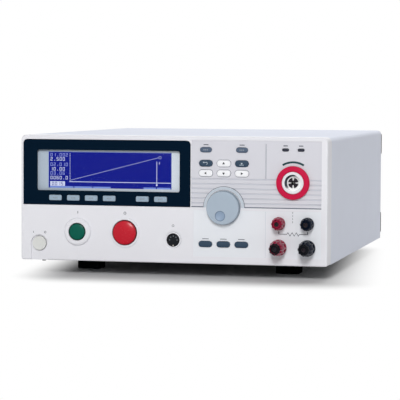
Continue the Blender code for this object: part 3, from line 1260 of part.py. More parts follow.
def build_main_board():
    """The main board with its power switch, relays and capacitors, and the amplifier's heatsink."""
    strip, wide = main_board_spans()
    z = (MAIN_BOARD_Z, MAIN_BOARD_Z + BOARD_THICKNESS)
    board = block("main_board", *strip, z, "board")
    join(board, block("main_board_wide", *wide, z))
    on_board = MAIN_BOARD_Z + BOARD_THICKNESS / 2
    join(board, block("power_switch", around(POWER_X, POWER_SWITCH_WIDTH),
                      (POWER_SWITCH_DEPTH, POWER_SWITCH_DEPTH + POWER_SWITCH_LENGTH),
                      (on_board, POWER_Z + POWER_SWITCH_RISE)))
    left = wide[0][0]
    for number in range(RELAY_COUNT):
        join(board, block(f"relay_{number}", around(left + RELAY_FROM_EDGE, RELAY_WIDTH),
                          around(PIECES_FRONT + RELAY_PITCH * number, RELAY_LENGTH),
                          (on_board, on_board + RELAY_HEIGHT)))
    for number in range(CAPACITOR_COUNT):
        join(board, standing_capacitor(f"capacitor_{number}", left + CAPACITOR_FROM_EDGE,
                                       PIECES_FRONT + CAPACITOR_PITCH * number, on_board))
    build_heatsink(wide)


def standing_capacitor(name, x, depth, base):
    """An electrolytic capacitor that stands on the main board."""
    return upright(name, x, depth, CAPACITOR_RADIUS, (base, base + CAPACITOR_HEIGHT), SMALL_SIDES)


def build_heatsink(wide):
    """The amplifier's finned heatsink: a block with the gaps between its fins cut out."""
    low = MAIN_BOARD_Z + BOARD_THICKNESS + SEAT_GAP
    right = wide[0][1] - HEATSINK_MARGIN
    base_left = right - HEATSINK_PITCH * (HEATSINK_FINS - 1) - HEATSINK_FIN
    end = wide[1][1] - HEATSINK_MARGIN
    front = end - HEATSINK_LENGTH
    sink = block("amplifier_heatsink", (base_left, right), (front, end), (low, low + HEATSINK_HEIGHT),
                 "aluminium")
    for number in range(HEATSINK_FINS - 1):
        left = base_left + HEATSINK_FIN + HEATSINK_PITCH * number
        cut(sink, block(f"heatsink_gap_{number}", (left, left + HEATSINK_PITCH - HEATSINK_FIN),
                        grown((front, end), OVERSHOOT),
                        (low + HEATSINK_BASE, low + HEATSINK_HEIGHT + OVERSHOOT)))


def shade():
    """Smooth shading with sharp edges kept."""
    for obj in PARTS.objects:
        obj.data.shade_smooth()
        obj.data.set_sharp_from_angle(angle=math.radians(35))


def main():
    """Build every piece of the tester."""
    keys = key_places()
    build_front_panel(keys)
    build_display(keys)
    for key in keys:
        build_key(*key)
    build_jog_wheel()
    build_buttons()
    build_remote_socket()
    build_hv_terminal()
    for post in post_places():
        build_post(*post)
    build_cover()
    build_chassis()
    build_rear_panel()
    build_rear_fittings()
    build_fan()
    build_feet()
    build_key_board()
    build_transformer()
    build_main_board()
    shade()


main()
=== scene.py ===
"""A bench hipot tester in its finishes: moulded front, painted cover, keys, terminals and rear fittings.

Metres, +Z up, the front panel facing -Y. Depths run from the front panel's face towards the rear.
"""
import logging
import math
from dataclasses import dataclass, replace
from enum import Enum
from typing import Any, Callable, Mapping, Sequence

import bmesh
import bpy
from bmesh.types import BMesh
from mathutils import Matrix, Vector


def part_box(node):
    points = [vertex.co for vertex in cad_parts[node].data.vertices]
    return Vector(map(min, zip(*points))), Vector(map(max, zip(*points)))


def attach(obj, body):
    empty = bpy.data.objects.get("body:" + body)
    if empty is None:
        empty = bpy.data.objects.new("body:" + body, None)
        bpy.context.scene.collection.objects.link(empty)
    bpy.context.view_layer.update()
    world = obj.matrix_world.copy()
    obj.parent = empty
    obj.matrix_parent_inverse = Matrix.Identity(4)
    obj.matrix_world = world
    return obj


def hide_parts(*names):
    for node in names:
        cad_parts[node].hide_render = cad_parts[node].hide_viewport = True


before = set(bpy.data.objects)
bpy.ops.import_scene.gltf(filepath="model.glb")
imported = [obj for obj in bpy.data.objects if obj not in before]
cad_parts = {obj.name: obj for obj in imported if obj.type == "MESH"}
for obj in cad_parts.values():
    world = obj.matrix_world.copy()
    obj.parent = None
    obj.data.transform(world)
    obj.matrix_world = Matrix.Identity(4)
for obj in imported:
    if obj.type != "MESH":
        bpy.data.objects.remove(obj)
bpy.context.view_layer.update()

LOG = logging.getLogger("hipot_tester")
# Where the front's faces, the jog wheel, the lamps and the rear panel stand.
FRONT_Y = -0.201
CASE_BOTTOM = 0.015
DIVIDER_Z = 0.0742
WHEEL = (0.0559, DIVIDER_Z)
LAMP_SIDES = (-0.0081, 0.0081)
REAR_FACE = 0.4125
# Points closer than this are one; covers and print stand this proud; turned mouths have this chamfer.
MERGE = 1e-6
SKIN = 0.00006
CHAMFER = 0.0003
WHITE = (1.0, 1.0, 1.0, 1.0)

Colour = tuple[int, int, int]
Pair = tuple[float, float]
Triple = tuple[float, float, float]
Profile = list[Pair]
Point = Sequence[float]


def at(depth: float) -> float:
    """World Y of a depth behind the front panel's face."""
    return FRONT_Y + depth


def middle(node: str) -> Vector:
    """The centre of a CAD node's box."""
    low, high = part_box(node)
    return (low + high) / 2


def on_front(node: str) -> Triple:
    """Where the front-to-back axis of a CAD node's box meets the front panel's face."""
    centre = middle(node)
    return centre.x, FRONT_Y, centre.z


def linear(colour: Colour, share: float = 1.0) -> tuple[float, float, float, float]:
    """Scene colour of a display colour.

    Args:
        colour: Red, green and blue, 0 to 255, as a screen shows them.
        share: How much light of it is kept; above 1 is lighter.

    Returns:
        Linear red, green, blue and an alpha of 1.
    """
    values = []
    for value in colour:
        part = value / 255
        part = part / 12.92 if part <= 0.04045 else ((part + 0.055) / 1.055) ** 2.4
        values.append(min(part * share, 1.0))
    return (values[0], values[1], values[2], 1.0)


# Materials


def operator(operation: str, swapped: bool = False) -> Callable[["Signal", Any], "Signal"]:
    """The method behind one of Python's operators: a Math node, with the other value first if swapped."""
    return lambda value, other: value.maths(operation, other, swapped)


@dataclass(frozen=True)
class Signal:
    """A value that runs between a tree's nodes, with Python's operators as Math nodes."""

    tree: "Tree"
    socket: bpy.types.NodeSocket

    __add__, __radd__ = operator("ADD"), operator("ADD", True)
    __sub__, __rsub__ = operator("SUBTRACT"), operator("SUBTRACT", True)
    __mul__, __rmul__ = operator("MULTIPLY"), operator("MULTIPLY", True)
    __gt__, __lt__ = operator("GREATER_THAN"), operator("LESS_THAN")

    def maths(self, operation: str, other: Any = 0.0, swapped: bool = False) -> "Signal":
        """One Math node on this value and another, which comes first if swapped."""
        first, second = (other, self) if swapped else (self, other)
        return self.tree.node("ShaderNodeMath", {"operation": operation}, {0: first, 1: second})

    def within(self, low: float, high: float) -> "Signal":
        """1 where this value lies between two numbers."""
        return (self > low) * (self < high)

    def ring(self, pitch: float) -> "Signal":
        """How far along its own step of a repeating pitch this value is, 0 to 1."""
        return (self * (1 / pitch)).maths("FRACT")

    def smooth(self, low: float, high: float) -> "Signal":
        """0 below one number and 1 above another, with a smooth step between them."""
        return self.tree.node("ShaderNodeMapRange", {"interpolation_type": "SMOOTHSTEP"},
                              {"Value": self, "From Min": low, "From Max": high})


class Tree:
    """The nodes of a material or of the world."""

    def __init__(self, owner: bpy.types.Material | bpy.types.World) -> None:
        """Empties the nodes of a new material or world."""
        self.owner = owner
        owner.use_nodes = True
        owner.node_tree.nodes.clear()

    def node(self, kind: str, settings: Mapping[str, Any] | None = None,
             values: Mapping[int | str, Any] | None = None, output: int | str = 0) -> Signal:
        """Adds a node.

        Args:
            kind: The node's type.
            settings: Its own settings, which are set first; "stops" are a ramp's (place, colour) pairs.
            values: Numbers, colours or signals for its inputs, by name or place.
            output: Which output to hand back.

        Returns:
            The chosen output.
        """
        made = self.owner.node_tree.nodes.new(kind)
        for name, value in (settings or {}).items():
            if name == "stops":
                ramp = made.color_ramp.elements
                for index, (place, colour) in enumerate(value):
                    stop = ramp[index] if index < 2 else ramp.new(place)
                    stop.position, stop.color = place, colour
            else:
                setattr(made, name, value)
        for name, value in (values or {}).items():
            if isinstance(value, Signal):
                self.owner.node_tree.links.new(value.socket, made.inputs[name])
            else:
                made.inputs[name].default_value = value
        return Signal(self, made.outputs[output])

    def point(self) -> Signal:
        """The place on the object, in metres."""
        return self.node("ShaderNodeTexCoord", output="Object")

    def axes(self, point: Signal) -> tuple[Signal, Signal, Signal]:
        """The three numbers of a place."""
        split = self.node("ShaderNodeSeparateXYZ", values={0: point}).socket.node
        return tuple(Signal(self, socket) for socket in split.outputs)

    def squared(self, point: Signal, centre: Pair) -> Signal:
        """The squared distance of a place from an axis that runs front to back."""
        x, _, z = self.axes(point)
        aside, above = x - centre[0], z - centre[1]
        return aside * aside + above * above

    def stretched(self, point: Signal, scale: Point) -> Signal:
        """A place with each of its numbers multiplied."""
        return self.node("ShaderNodeVectorMath", {"operation": "MULTIPLY"}, {0: point, 1: scale})

    def noise(self, point: Signal, size: float, detail: float = 2.0) -> Signal:
        """Smooth noise whose blotches are about that size in metres."""
        return self.node("ShaderNodeTexNoise", values={"Vector": point, "Scale": 1 / size, "Detail": detail})

    def blend(self, amount: Any, first: Any, second: Any) -> Signal:
        """A colour between two others."""
        return self.node("ShaderNodeMix", {"data_type": "RGBA"}, {0: amount, 6: first, 7: second}, 2)

    def bump(self, height: Signal, distance: float) -> Signal:
        """A normal tilted by a height of that many metres."""
        return self.node("ShaderNodeBump", values={"Height": height, "Distance": distance, "Strength": 1.0})

    def close(self, shader: Signal) -> None:
        """Sends a shader to the surface."""
        end = self.owner.node_tree.nodes.new(f"ShaderNodeOutput{type(self.owner).__name__}")
        self.owner.node_tree.links.new(shader.socket, end.inputs["Surface"])


class Grain(Enum):
    """How a finish's fine relief runs, as the noise's stretch along x, y and z."""

    EVEN = (1.0, 1.0, 1.0)
    ACROSS = (0.03, 1.0, 1.0)
    REARWARD = (1.0, 0.03, 1.0)
    UPRIGHT = (1.0, 1.0, 0.03)


@dataclass(frozen=True)
class Finish:
    """A surface: its colour and gloss, how its tone drifts, and the size and depth of its fine relief."""

    name: str
    slot: str
    colour: Colour
    roughness: float
    metallic: float = 0.0
    specular: float = 0.5
    coat: float = 0.0
    run: Grain = Grain.EVEN
    grain: float = 0.0004
    relief: float = 0.000012
    drift: float = 0.03
    drift_size: float = 0.04
    gloss_drift: float = 0.10

    def material(self) -> bpy.types.Material:
        """The material of this finish, made on first use."""
        found = bpy.data.materials.get(self.name)
        if found:
            return found
        tree = Tree(bpy.data.materials.new(self.name))
        tree.close(self.shader(tree, tree.point()))
        return tree.owner

    def tone(self, tree: Tree, point: Signal) -> Signal:
        """The colour over the surface, which drifts a little between darker and lighter."""
        return tree.blend(tree.noise(point, self.drift_size), linear(self.colour, 1 - self.drift),
                          linear(self.colour, 1 + self.drift))

    def height(self, tree: Tree, point: Signal) -> Signal:
        """The fine relief of the surface."""
        return tree.noise(tree.stretched(point, self.run.value), self.grain, 3.0)

    def shader(self, tree: Tree, point: Signal) -> Signal:
        """The surface's shader.

        Args:
            tree: The material that it goes into.
            point: The place on the object.

        Returns:
            The shader's output.
        """
        fine = self.height(tree, point)
        return tree.node("ShaderNodeBsdfPrincipled", values={
            "Base Color": self.tone(tree, point), "Metallic": self.metallic,
            "Roughness": fine * self.gloss_drift + (self.roughness - self.gloss_drift / 2),
            "Specular IOR Level": self.specular, "Coat Weight": self.coat, "Coat Roughness": 0.08,
            "Normal": tree.bump(fine, self.relief)})


@dataclass(frozen=True)
class PanelPlastic(Finish):
    """The front moulding's plastic, with the pale film below the divider and the cooler sunk field above."""

    film: Colour = (227, 230, 235)
    film_x: Pair = (0.0236, 0.1584)
    film_z: Pair = (0.0229, 0.0714)
    film_depth: Pair = (0.0003, 0.0007)
    field: Colour = (209, 209, 216)
    field_x: Pair = (0.0211, 0.1584)
    field_z: Pair = (DIVIDER_Z, 0.1440)
    sunk_from: float = 0.0006
    # Painted shade: the darker colour deep in the field's grooves.
    groove: Colour = (199, 201, 209)
    groove_depth: float = 0.00125
    land_radius: float = 0.0220

    def tone(self, tree: Tree, point: Signal) -> Signal:
        """The moulding's colour, paler on the film, cooler on the sunk field, and with painted shade in its
        grooves.
        """
        x, y, z = tree.axes(point)
        base = super().tone(tree, point)
        sunk = x.within(*self.field_x) * z.within(*self.field_z) * (y > at(self.sunk_from))
        # The sunk field's colour, with painted shade below the grooves' depth.
        field = tree.blend(y > at(self.groove_depth), linear(self.field), linear(self.groove))
        land = (tree.squared(point, WHEEL) < self.land_radius ** 2) * (z < self.film_z[1])
        front, back = (at(depth) for depth in self.film_depth)
        film = x.within(*self.film_x) * z.within(*self.film_z) * y.within(front, back)
        pale = film.maths("MAXIMUM", land * y.within(at(-0.0001), back))
        return tree.blend(pale, tree.blend(sunk, base, field), linear(self.film))


@dataclass(frozen=True)
class WheelPlastic(Finish):
    """The jog wheel's plastic: a pale face, a darker grip round its side that also stands for the side's
    shade, and a cooler finger dimple with painted shade round its rim.
    """

    face_radius: float = 0.01725
    # Darker grip: partly the side's own colour, partly painted shade on the side wall.
    grip: Colour = (136, 152, 166)
    dimple: Pair = (0.0535, 0.06584)
    dimple_radii: Pair = (0.0048, 0.0054)
    dimple_floor: Colour = (142, 161, 184)
    # Painted shade: the darker ring at the dimple's rim.
    dimple_edge: Colour = (98, 116, 138)

    def tone(self, tree: Tree, point: Signal) -> Signal:
        """The face's colour, the grip's outside its rim, which also paints the side's shade, and the dimple's
        painted shade at its edge and its darker floor.
        """
        away = tree.squared(point, self.dimple)
        inner, outer = self.dimple_radii
        face = tree.blend(away < outer ** 2, super().tone(tree, point), linear(self.dimple_edge))
        face = tree.blend(away < inner ** 2, face, linear(self.dimple_floor))
        return tree.blend(tree.squared(point, WHEEL) > self.face_radius ** 2, face, linear(self.grip))


@dataclass(frozen=True)
class TerminalWhite(Finish):
    """The high-voltage terminal's white insulator, with painted light in its bore and a painted shadow on one
    side of it.
    """

    centre: Pair = (0.1287, 0.1011)
    bore: float = 0.0086
    # Painted light: the bore's inside is whiter than the insulator, standing for its lit lower wall.
    inner: Colour = (253, 253, 253)
    collar: float = 0.0068
    # Painted shade: the grey crescent on the bore's upper left wall, with how it slants and how far it fades.
    shade: Colour = (56, 64, 74)
    shade_slant: float = 0.7
    shade_reach: float = 0.005

    def tone(self, tree: Tree, point: Signal) -> Signal:
        """The insulator's colour, and within its mouth the bore's painted light, with a painted shadow on its
        upper left wall.
        """
        x, _, z = tree.axes(point)
        square = tree.squared(point, self.centre)
        # The side of the bore that gets the painted shadow: its upper left wall.
        side = ((z - self.centre[1]) * self.shade_slant - (x - self.centre[0])).smooth(0.0, self.shade_reach)
        bore = tree.blend((square > self.collar ** 2) * side, linear(self.inner), linear(self.shade))
        return tree.blend(square < self.bore ** 2, super().tone(tree, point), bore)


@dataclass(frozen=True)
class ButtonPlastic(Finish):
    """Glossy button plastic with painted shade at the dome's edge."""

    centre: Pair = (0.0, 0.0)
    radius: float = 0.0133
    edge: float = 0.0009
    # How much darker the painted shade at the dome's edge is.
    depth: float = 0.9

    def tone(self, tree: Tree, point: Signal) -> Signal:
        """The dome's colour, going over to a darker painted shade at its edge."""
        share = tree.squared(point, self.centre).maths("SQRT").smooth(self.radius - 2 * self.edge,
                                                                      self.radius)
        return tree.blend(share, super().tone(tree, point), linear(self.colour, 1 - self.depth))


@dataclass(frozen=True)
class ModuleFrame(Finish):
    """The display module's frame, with painted light that brightens it towards its right end."""

    # Painted light: the brighter colour of the frame's right end.
    far: Colour = (230, 239, 249)
    span: Pair = (-0.1250, -0.0020)

    def tone(self, tree: Tree, point: Signal) -> Signal:
        """The frame's colour from its left end to its right end, where painted light makes it brighter."""
        x, _, _ = tree.axes(point)
        share = (x - self.span[0]) * (1 / (self.span[1] - self.span[0]))
        return tree.blend(share, super().tone(tree, point), linear(self.far))


@dataclass(frozen=True)
class Pane(Finish):
    """Clear plastic that shows what is behind it and mirrors a little at a glancing angle."""

    clarity: float = 0.992
    glance: float = 0.5

    def shader(self, tree: Tree, point: Signal) -> Signal:
        """Mostly clear, less so at a glancing angle."""
        fresnel = tree.node("ShaderNodeFresnel", values={"IOR": 1.45})
        return tree.node("ShaderNodeBsdfPrincipled", values={
            "Base Color": self.tone(tree, point), "Roughness": self.roughness,
            "Specular IOR Level": self.specular, "Alpha": fresnel * self.glance + (1 - self.clarity)})


@dataclass(frozen=True)
class Lit(Finish):
    """A backlit display's surface, divided into its dots."""

    pitch_x: float = 0.000562
    pitch_z: float = 0.000583
    gap: float = 0.10

    def shader(self, tree: Tree, point: Signal) -> Signal:
        """Light of the display's colour, dimmer in the gaps between the dots."""
        x, _, z = tree.axes(point)
        dot = (x.ring(self.pitch_x) > self.gap) * (z.ring(self.pitch_z) > self.gap)
        light = tree.blend(dot, linear(self.colour, 0.8), linear(self.colour))
        return tree.node("ShaderNodeBsdfPrincipled", values={
            "Base Color": (0.0, 0.0, 0.01, 1.0), "Roughness": self.roughness, "Specular IOR Level": 0.02,
            "Emission Color": light, "Emission Strength": 1.0})


@dataclass(frozen=True)
class BoardFinish(Finish):
    """Solder mask over copper tracks, with tinned pads."""

    track: float = 0.0025
    share: float = 0.35
    patch: float = 0.02

    def tone(self, tree: Tree, point: Signal) -> Signal:
        """Green mask, lighter over the tracks, which run across in some patches and rearward in others."""
        x, y, _ = tree.axes(point)
        across = tree.noise(point, self.patch) > 0.5
        rows = (x.ring(self.track) < self.share) * across + (y.ring(self.track) < self.share) * (1 - across)
        return tree.blend(rows, super().tone(tree, point), linear(self.colour, 1.8))


@dataclass(frozen=True)
class CoreFinish(Finish):
    """A transformer: laminated core across the middle, taped winding before and behind it."""

    tape: Colour = (196, 164, 60)
    core_depth: Pair = (0.0848, 0.1602)
    sheet: float = 0.0007

    def tone(self, tree: Tree, point: Signal) -> Signal:
        """Lines of the sheets on the core, and tape colour on the winding."""
        _, y, _ = tree.axes(point)
        core = y.within(*(at(d) for d in self.core_depth))
        lines = tree.blend(y.ring(self.sheet) < 0.25, super().tone(tree, point), linear(self.colour, 0.5))
        return tree.blend(core, linear(self.tape), lines)


def ink(name: str, slot: str, colour: Colour, specular: float = 0.1) -> Finish:
    """A matt print of that colour."""
    return Finish(name, slot, colour, 0.6, specular=specular, relief=0.000004, drift=0.04, drift_size=0.003)


PANEL = PanelPlastic("moulded_panel_plastic", "panel_grey", (227, 227, 232), 0.5, grain=0.00035,
                     relief=0.00001, drift=0.012, specular=0.3)
ARCH = Finish("blue_grey_arch_plastic", "panel_grey", (196, 205, 214), 0.5, grain=0.00035, relief=0.00001,
              drift=0.012, specular=0.2)
COVER = Finish("powder_coated_steel", "cover_paint", (222, 226, 237), 0.75, grain=0.0009, relief=0.00003,
               drift=0.02, specular=0.04)
NAVY = Finish("navy_display_surround", "navy", (8, 25, 41), 0.32, specular=0.0, grain=0.0006, relief=0.000004,
              drift=0.05)
PANE = Pane("clear_display_window", "clear", (30, 42, 56), 0.06, specular=0.3)
LCD_FRAME = ModuleFrame("display_module_frame", "lcd", (194, 208, 222), 0.42, run=Grain.ACROSS, grain=0.0006,
                        relief=0.000006, specular=0.2)
LCD_BLUE = Lit("display_blue", "lcd", (24, 32, 140), 0.25)
LCD_LIGHT = replace(LCD_BLUE, name="display_light_dots", colour=(214, 222, 250))
LCD_DIM = replace(LCD_BLUE, name="display_dim_dots", colour=(150, 162, 232))
LCD_EDGE = replace(LCD_BLUE, name="display_edge_glow", colour=(126, 150, 222), gap=0.0)
SOFT_KEY = Finish("soft_key_plastic", "soft_key", (150, 169, 186), 0.45, grain=0.00045, relief=0.00002,
                  specular=0.2)
DARK_KEY = Finish("dark_silicone_key", "dark_key", (49, 69, 88), 0.5, grain=0.0005, drift=0.05,
                  drift_size=0.01, specular=0.18)
GREY_KEY = replace(DARK_KEY, name="grey_silicone_key", colour=(84, 98, 118))
WHITE_KEY = Finish("white_silicone_key", "white_key", (240, 241, 244), 0.5, grain=0.0005, drift=0.01,
                   specular=0.3)
CREAM = Finish("cream_button_plastic", "cream", (216, 217, 214), 0.4, grain=0.0005, relief=0.000008,
               specular=0.3)
KNOB = WheelPlastic("blue_grey_wheel_plastic", "knob", (165, 179, 193), 0.42, grain=0.00035, drift=0.02,
                    specular=0.3)
GREEN = ButtonPlastic("green_button_plastic", "green", (2, 90, 74), 0.3, specular=0.12, grain=0.002,
                      relief=0.000004, drift=0.06, drift_size=0.01)
RED = ButtonPlastic("red_button_plastic", "red", (190, 4, 34), 0.26, specular=0.32, grain=0.002,
                    relief=0.000004, drift=0.05, drift_size=0.01)
POST_RED = Finish("red_post_plastic", "red", (150, 8, 54), 0.2, specular=0.2, grain=0.0006, relief=0.00001,
                  drift=0.05, drift_size=0.01)
POST_BLACK = replace(POST_RED, name="black_post_plastic", slot="black", colour=(8, 20, 38), roughness=0.16,
                     specular=0.03)
HV_RED = Finish("red_terminal_ring", "hv_red", (196, 22, 66), 0.4, specular=0.1, grain=0.0005, relief=0.00001,
                drift_size=0.01)
INSULATOR = TerminalWhite("white_terminal_plastic", "white_insulator", (228, 230, 234), 0.34, grain=0.0006,
                          relief=0.000006, drift=0.015, specular=0.2)
BLACK = Finish("black_moulding", "black", (20, 23, 29), 0.4, grain=0.0005, drift=0.08, drift_size=0.01,
               specular=0.12)
NOSE_BLACK = replace(BLACK, name="matt_black_moulding", colour=(10, 13, 20), roughness=0.5, specular=0.1)
BLACK_GLOSS = Finish("black_lamp_lens", "clear", (48, 50, 62), 0.2, specular=0.2, grain=0.001,
                     relief=0.000004)
STEEL = Finish("zinc_plated_steel", "steel", (186, 188, 192), 0.36, metallic=1.0, run=Grain.REARWARD,
               grain=0.0008, relief=0.000006, drift=0.06, drift_size=0.03)
REAR_PAINT = Finish("rear_panel_paint", "steel", (206, 207, 212), 0.5, grain=0.0009, relief=0.00003,
                    drift=0.02)
NICKEL = Finish("nickel_plated_brass", "brass", (196, 190, 180), 0.22, metallic=1.0, run=Grain.UPRIGHT,
                relief=0.000004, drift=0.05, drift_size=0.006)
BRASS = Finish("turned_brass", "brass", (46, 41, 34), 0.34, metallic=1.0, relief=0.000004, drift=0.06,
               drift_size=0.006)
DARK_METAL = Finish("dark_contact_metal", "steel", (40, 34, 42), 0.34, metallic=0.8, relief=0.000006,
                    drift=0.10, drift_size=0.004)
PIN_METAL = Finish("grey_pin_metal", "steel", (104, 108, 114), 0.34, metallic=0.7, relief=0.000004)
BOARD = BoardFinish("circuit_board", "board", (18, 92, 52), 0.4, drift=0.05)
ALUMINIUM = Finish("extruded_aluminium", "aluminium", (196, 198, 202), 0.38, metallic=1.0, run=Grain.REARWARD,
                   grain=0.0006, relief=0.00001, drift=0.05)
RUBBER = Finish("black_rubber", "rubber", (14, 15, 17), 0.8, specular=0.0, grain=0.0007, relief=0.00002,
                drift=0.1)
BUMPER = replace(RUBBER, name="dark_bumper_rubber", colour=(10, 12, 13), roughness=0.75, drift=0.08)
CORE = CoreFinish("transformer_core_and_tape", "steel", (108, 104, 102), 0.5, grain=0.0006)
INK_DARK = ink("dark_print", "panel_grey", (52, 60, 72))
INK_GREY = ink("grey_print", "panel_grey", (140, 147, 157))
# Painted shade: dark lines where the field's step, the arch's rims and the white keys' gaps fall into shade.
PAINTED_SHADE_LINE = ink("divider_painted_shade", "panel_grey", (98, 106, 118))
INK_GREEN = ink("dark_green_print", "panel_grey", (38, 68, 72))
INK_PALE = ink("pale_print", "dark_key", (190, 204, 214), 0.5)
INK_BLACK = ink("black_print", "white_key", (30, 32, 38))


# Meshes


def sharp_edges(part: BMesh, degrees: float) -> list[bmesh.types.BMEdge]:
    """The edges where two faces meet at more than that angle."""
    limit = math.radians(degrees)
    return [edge for edge in part.edges if len(edge.link_faces) == 2 and edge.calc_face_angle(0.0) > limit]


def rounded(part: BMesh, edges: Sequence[bmesh.types.BMEdge], radius: float, steps: int = 3) -> BMesh:
    """Rounds some edges of a shape.

    Args:
        part: The shape.
        edges: Which of its edges.
        radius: The rounding's radius.
        steps: How many facets it gets.

    Returns:
        The same shape.
    """
    bmesh.ops.bevel(part, geom=list(edges), offset=radius, segments=steps, profile=0.5, affect="EDGES",
                    clamp_overlap=True, material=-1)
    return part


def block(size: Point, edge: float = 0.0, steps: int = 2) -> BMesh:
    """A box round the origin with softened edges."""
    part = bmesh.new()
    bmesh.ops.create_cube(part, size=1)
    bmesh.ops.scale(part, vec=size, verts=part.verts)
    return rounded(part, part.edges[:], edge, steps) if edge else part


def plate(width: float, height: float, depth: float, corner: float, edge: float = 0.0, crown: float = 0.0,
          steps: int = 8) -> BMesh:
    """A plate with round corners, its front at y = 0 and its back behind it.

    Args:
        width: Its size along x.
        height: Its size along z.
        depth: Its thickness along y.
        corner: The radius of its corners.
        edge: The rounding of its front outline.
        crown: How far the front's middle stands before the front's edge.
        steps: The facets of each corner.

    Returns:
        The plate.
    """
    part = bmesh.new()
    bmesh.ops.create_cube(part, size=1)
    bmesh.ops.scale(part, vec=(width, depth - crown, height), verts=part.verts)
    bmesh.ops.translate(part, vec=(0, (depth + crown) / 2, 0), verts=part.verts)
    along = [e for e in part.edges if abs(e.verts[0].co.y - e.verts[1].co.y) > MERGE]
    if corner:
        rounded(part, along, corner, steps)
    if edge:
        outline = [e for e in part.edges if all(abs(v.co.y - crown) < MERGE for v in e.verts)]
        rounded(part, outline, edge, 3)
    if crown:
        front = [f for f in part.faces if all(abs(v.co.y - crown) < MERGE for v in f.verts)]
        inset = (min(corner, height / 2, width / 2) - edge) * 0.3
        for rise in (0.5, 0.3, 0.2):
            bmesh.ops.inset_region(part, faces=front, thickness=inset, depth=0.0, use_even_offset=True)
            bmesh.ops.translate(part, vec=(0, -crown * rise, 0),
                                verts=list({v for f in front for v in f.verts}))
    return part


def turned(profile: Sequence[Pair], sides: int = 96, closed: bool = False,
           sweep: float = math.tau) -> BMesh:
    """A shape turned about the Y axis.

    Args:
        profile: Its half section as (radius, depth) points.
        sides: The facets of the sweep.
        closed: Whether the last point joins the first.
        sweep: The angle that it is turned through; its ends are closed if it isn't a full turn.

    Returns:
        The turned shape.
    """
    part = bmesh.new()
    verts = [part.verts.new((radius, along, 0)) for radius, along in profile]
    ahead = verts[1:] + (verts[:1] if closed else [])
    edges = [part.edges.new(pair) for pair in zip(verts, ahead)]
    full = abs(sweep - math.tau) < MERGE
    bmesh.ops.spin(part, geom=verts + edges, cent=(0, 0, 0), axis=(0, 1, 0), dvec=(0, 0, 0), angle=sweep,
                   steps=sides, use_merge=full, use_duplicate=False)
    bmesh.ops.remove_doubles(part, verts=part.verts, dist=MERGE)
    if not full:
        bmesh.ops.holes_fill(part, edges=[edge for edge in part.edges if edge.is_boundary], sides=0)
    bmesh.ops.recalc_face_normals(part, faces=part.faces)
    return part


def round_over(radius: float, front: float, width: float, steps: int = 5,
               drop: float | None = None) -> Profile:
    """Profile points of a rounded front corner, from the face out to the side.

    Args:
        radius: The side's radius.
        front: The face's depth.
        width: How far the rounding reaches in from the side.
        steps: Its facets.
        drop: How far it reaches back from the face, where that isn't its width.

    Returns:
        The points.
    """
    drop = width if drop is None else drop
    angles = [math.pi / 2 * step / steps for step in range(steps + 1)]
    return [(radius - width * (1 - math.sin(angle)), front + drop * (1 - math.cos(angle)))
            for angle in angles]


def waved(part: BMesh, inner: float, waves: int, groove: float) -> BMesh:
    """Draws a turned shape in and out round its axis, outside an inner radius.

    Args:
        part: The turned shape.
        inner: The radius that stays as it is.
        waves: How many grooves it gets.
        groove: Their depth as a share of the radius.

    Returns:
        The same shape.
    """
    for vert in part.verts:
        if math.hypot(vert.co.x, vert.co.z) > inner:
            angle = math.atan2(vert.co.z, vert.co.x)
            share = 1 - groove * (0.5 - math.cos(waves * angle) / 2) ** 0.8
            vert.co.x *= share
            vert.co.z *= share
    return part


def merged_copy(node: str, edge: float = 0.0, degrees: float = 35.0, steps: int = 2) -> BMesh:
    """A copy of a CAD node with whole faces.

    Args:
        node: The node.
        edge: The rounding of its sharp edges, or 0.
        degrees: The angle from which an edge counts as sharp.
        steps: The facets of the rounding.

    Returns:
        The copy, where it stands in the tester.
    """
    part = bmesh.new()
    part.from_mesh(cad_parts[node].data)
    bmesh.ops.remove_doubles(part, verts=part.verts, dist=MERGE)
    bmesh.ops.dissolve_limit(part, angle_limit=math.radians(0.5), verts=part.verts, edges=part.edges)
    return rounded(part, sharp_edges(part, degrees), edge, steps) if edge else part


